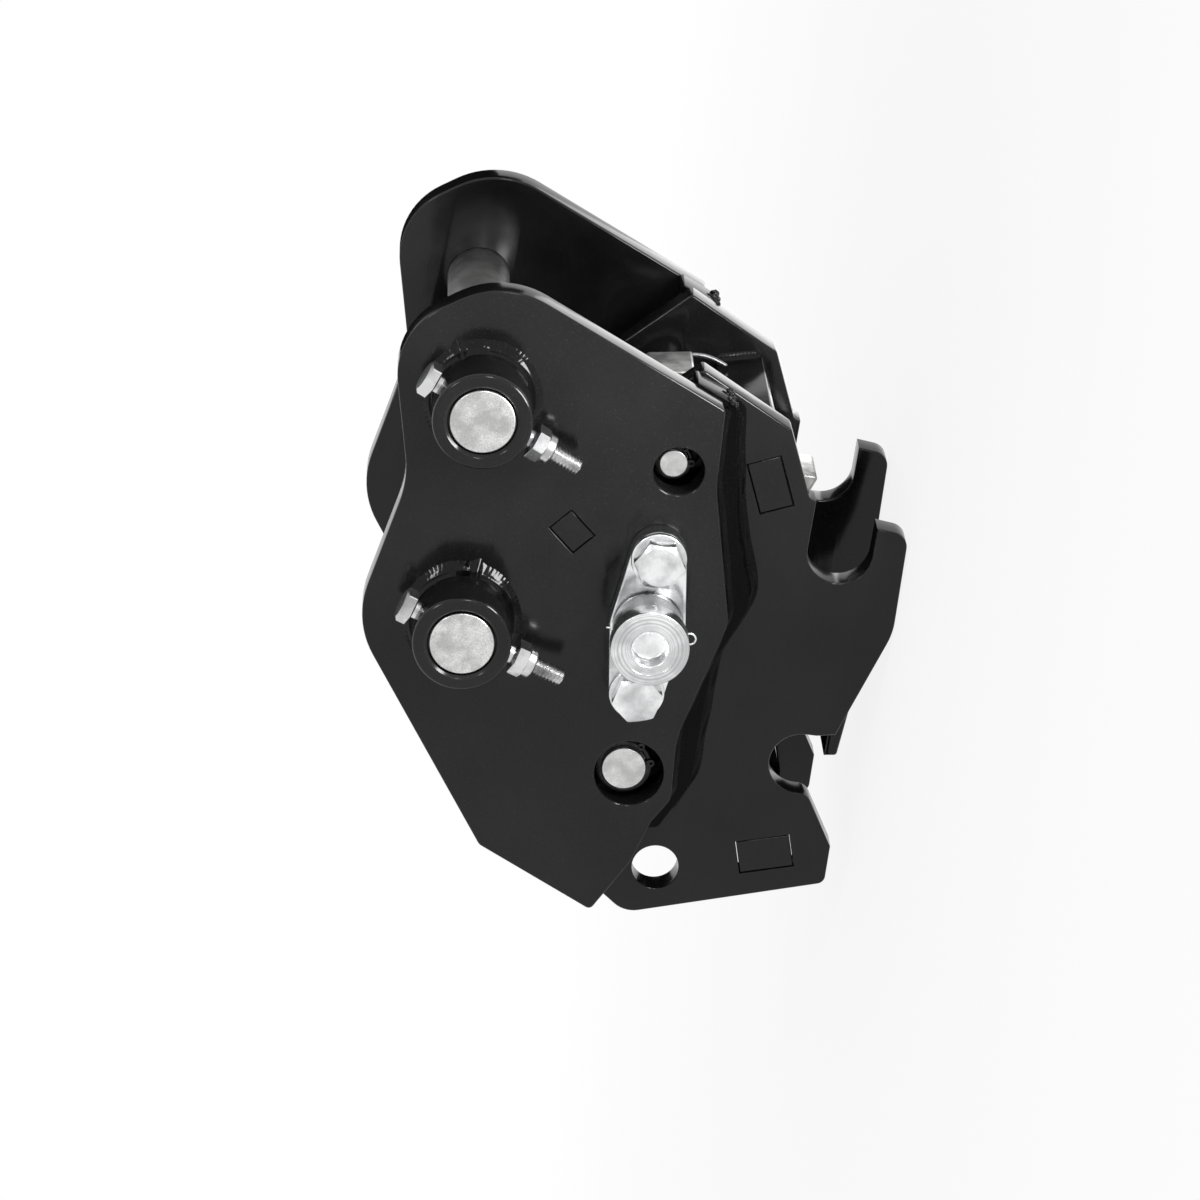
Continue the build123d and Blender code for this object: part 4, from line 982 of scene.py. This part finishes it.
above = np.array([off_shelf[0], 0.0, off_shelf[1]])
hole = end_low + HOLE_UP * up_end
for sign in (-1, 1):
    rear, front = (np.array([x, sign * HOOK_PLATE_IN, z]) for x, z in (SHELF_REAR, SHELF_FRONT))
    inward = np.array([0.0, -sign, 0.0])
    shelf_patches.append(straight(rear, front, inward, above, SHELF_LEG))
    place = np.array([hole[0], sign * SPACER_MIDDLE, hole[1]]) + END_PROUD * out_of_end
    end_patches.append(turned(HOLE_LIP, place, out_of_end, ring=True, segments=32))
    hole_shade_patches.append(turned(HOLE_SHADE_DISC, place, out_of_end, segments=32))
    across = np.linspace(*DROP_SPAN, DROPS) + chance.uniform(-DROP_SHIFT, DROP_SHIFT, DROPS)
    raised = chance.uniform(*DROP_RAISE, DROPS)[:, None] * np.array([up_end[0], 0.0, up_end[1]])
    drops = SPACER_FOOT + END_PROUD * out_of_end + raised
    drops[:, 1] = sign * across
    end_patches += lumps(drops, chance.uniform(*DROP_R, DROPS))
# These beads and tacks take the darker weld pigment, which is painted shade.
piece("painted_shelf_seams", shelf_patches, "frame", "black_paint", weld_paint_with_painted_shade)
piece("painted_spacer_tacks", end_patches, "frame", "black_paint", weld_paint_with_painted_shade)
# The hole bottoms are dull black discs: painted shade.
piece("painted_shade_spacer_holes", hole_shade_patches, "frame", "black_sleeve", hole_shade_and_card_black)

# %% [markdown]
# ## The inner mechanism
# Seen from behind or below, the latch, the cam, the shaft and their sleeves show. Flat parts are
# slabs again, and the latch's sleeve, the cam's hub and the shaft are turned; the other round parts
# keep their CAD shapes and get new finishes.

# %% Latch, cam, shaft and sleeves
LATCH_HALF, LATCH_EDGE, LATCH_SLEEVE_R, LATCH_BORE_R = 0.025, 0.002, 0.019, LATCH_PIN_R + RUNNING
CAM_HALF, CAM_EDGE, CAM_HUB_R, CAM_HUB_HALF = 0.015, 0.001, 0.0225, 0.026
latch_axis = centre_of("latch_pin")
latch_near, latch_far = levels("latch_hook")
latch_outline = face_loops("latch_hook", -LATCH_HALF)
latch_patches = slab(latch_outline, -LATCH_HALF, LATCH_HALF, LATCH_EDGE)
sleeve = tube_wall(LATCH_BORE_R, LATCH_SLEEVE_R, latch_near, latch_far, 0.0005, 0.0008)
latch_patches.append(turned(sleeve, latch_axis, -NEAR, ring=True))
piece("painted_latch_hook", latch_patches, "latch", "black_paint", paint, "latch_hook")

cam_patches = slab(face_loops("release_cam", -CAM_HALF), -CAM_HALF, CAM_HALF, CAM_EDGE)
cam_hub = tube_wall(SHAFT_BORE_R, CAM_HUB_R, -CAM_HUB_HALF, CAM_HUB_HALF, 0.0005, 0.0008)
cam_patches.append(turned(cam_hub, shaft_axis, ring=True))
piece("painted_release_cam", cam_patches, "release", "black_paint", paint, "release_cam")

shaft_near, shaft_far = levels("release_shaft")
piece(
    "grained_release_shaft", [turned(rod(SHAFT_R, -shaft_far, -shaft_near, 0.001), shaft_axis)],
    "release", "pin_steel", pin_steel, "release_shaft",
)
for node, finish, slot in (
    ("shaft_sleeve", sleeve_paint, "black_sleeve"), ("lock_sleeves", sleeve_paint, "black_sleeve"),
    ("far_shaft_bush", bronze, "bronze"), ("shaft_circlip", spring_steel, "spring_steel"),
    ("cam_pin", pin_steel, "pin_steel"),
):
    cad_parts[node].data.materials.clear()
    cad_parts[node].data.materials.append(finish)
    print(node, "keeps its CAD shape, in", finish.name, "for slot", slot)

# %% [markdown]
# ## Studio
# The floor is a plain pale disc under the lowest point. Seen by the camera, in gloss and through
# glass, it and the world are white. Near the coupler a share of the floor's own shading is kept,
# so that the coupler casts its shadow there, and the share fades out with distance, so that no
# line shows where the floor ends.

# %% Floor and world


def white_for_camera(tree):
    """1 where a ray comes from the camera, from gloss or through glass, and 0 elsewhere."""
    rays = add(tree, "LightPath")
    seen = rays["Is Camera Ray"]
    for name in ("Is Glossy Ray", "Is Transmission Ray"):
        seen = add(tree, "Math", {0: seen, 1: rays[name]}, operation="MAXIMUM")["Value"]
    return seen


def blend(tree, factor, first, second, output):
    """Shows one shader where a factor is 0 and another where it is 1."""
    mixed = add(tree, "MixShader", {0: factor, 1: first, 2: second})["Shader"]
    tree.links.new(mixed, tree.nodes[output].inputs["Surface"])


def staged(name, points, faces, finish):
    """An object of the studio, which isn't part of the coupler."""
    mesh = bpy.data.meshes.new(name)
    mesh.from_pydata(points, [], faces)
    mesh.validate()
    mesh.materials.append(finish)
    obj = bpy.data.objects.new(name, mesh)
    bpy.context.scene.collection.objects.link(obj)
    return obj


FLOOR_R, FLOOR_DROP, WORLD_LIGHT = 9.0, 0.0005, 0.55
floor_finish, tree, shader, where = shader_tree("pale_floor")
tree.links.new(
    between(tree, noise(tree, where, 2.0), (0.78, 0.78, 0.78), (0.84, 0.84, 0.84)),
    shader.inputs["Base Color"],
)
shader.inputs["Roughness"].default_value = 0.9
glow = add(tree, "Emission", {"Strength": 1.0})["Emission"]
distance = add(tree, "VectorMath", {0: where}, operation="LENGTH")["Value"]
fade = spread(tree, distance, 0.86, 1.0, 0.3, 1.8)
share = add(tree, "Math", {0: white_for_camera(tree), 1: fade}, operation="MULTIPLY")["Value"]
blend(tree, share, shader.outputs["BSDF"], glow, "Material Output")

floor_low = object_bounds()[0].z
angle = np.linspace(0, TAU, 96, endpoint=False)
radii = np.array([0.0, 0.5, 2.0, FLOOR_R])[:, None]
disc = np.stack([
    radii * np.cos(angle), radii * np.sin(angle), np.full((4, 96), floor_low - FLOOR_DROP)
], -1)
floor_points, floor_faces, _ = wrapped(disc)
staged("floor", floor_points.tolist(), floor_faces.tolist(), floor_finish)

world = bpy.data.worlds.new("studio")
bpy.context.scene.world = world
world.use_nodes = True
tree = world.node_tree
light, white = (
    add(tree, "Background", {"Color": (1, 1, 1, 1), "Strength": strength})["Background"]
    for strength in (WORLD_LIGHT, 1.0)
)
blend(tree, white_for_camera(tree), light, white, "World Output")
print("floor at", round(floor_low, 4))

# %% [markdown]
# ## Lamps
# Black gloss shows only what it mirrors, so each lamp is a panel placed where a set of edges or
# weld ripples reflects it towards the camera. A wide panel on the floor behind lights the plates'
# slanted front edges, small bright ones in front give the rims and beads their glints, and two
# black cards behind keep the round noses dark.

# %% Soft panels


def panel(name, place, aim, size, radiance):
    """A square area lamp of a given side; its power is radiance times pi times its area."""
    lamp = bpy.data.lights.new(name, "AREA")
    lamp.size = size
    lamp.energy = radiance * np.pi * size**2
    obj = bpy.data.objects.new(name, lamp)
    bpy.context.scene.collection.objects.link(obj)
    obj.location = place
    obj.rotation_euler = (Vector(aim) - Vector(place)).to_track_quat("-Z", "Y").to_euler()
    obj.visible_camera = False
    print(name, "at", place)


def card(name, low, high, y):
    """A black card that only gloss sees, which the plates' round noses mirror."""
    corners = [(low[0], y, low[1]), (high[0], y, low[1]), (high[0], y, high[1]), (low[0], y, high[1])]
    obj = staged(name, corners, [(0, 1, 2, 3)], hole_shade_and_card_black)
    obj.visible_camera = obj.visible_diffuse = obj.visible_shadow = False


AIM, CARD_Y, LAMP_LIFT = (-0.12, 0.0, -0.1), 1.0, 0.005
UPWARD = Vector((0.0, 0.0, 1.0))
low_back = Vector((0.16, 0.46, floor_low + LAMP_LIFT))
low_front = Vector((0.12, -0.27, floor_low + LAMP_LIFT))
panel("low_back_panel", low_back, low_back + UPWARD, 0.5, 1.6)
panel("low_front_panel", low_front, low_front + UPWARD, 0.15, 34.0)
panel("upper_left_panel", (0.93, -1.15, 1.3), AIM, 0.26, 26.0)
panel("top_panel", (1.15, -1.15, -0.1), AIM, 0.22, 25.0)
card("upper_card", (-0.35, 0.0), (0.75, 0.6), CARD_Y)
card("lower_card", (0.43, -0.2), (0.75, 0.0), CARD_Y)

# %% [markdown]
# ## Camera
# The photograph was taken from far away with a long lens, with the coupler's front pointing up in
# the picture. The camera's three axes and its place are written out, so nothing is left to a
# look-at rule.

# %% Camera
RIGHT = Vector((0.15119, -0.03172, -0.98800))
UP = Vector((0.91508, 0.38250, 0.12776))
BACK = Vector((0.37386, -0.92341, 0.08686))
PLACE = Vector((0.8872, -2.558, 0.1515))
eye = bpy.data.cameras.new("photo_camera")
eye.sensor_fit = "HORIZONTAL"
eye.sensor_width = 36.0
eye.lens = 148.47
eye.clip_end = 60.0
camera = bpy.data.objects.new("photo_camera", eye)
bpy.context.scene.collection.objects.link(camera)
turn = Matrix((RIGHT, UP, BACK)).transposed().to_4x4()
camera.matrix_world = Matrix.Translation(PLACE) @ turn
bpy.context.scene.camera = camera
bpy.context.scene.view_settings.view_transform = "Standard"
print("lens", eye.lens, "mm")
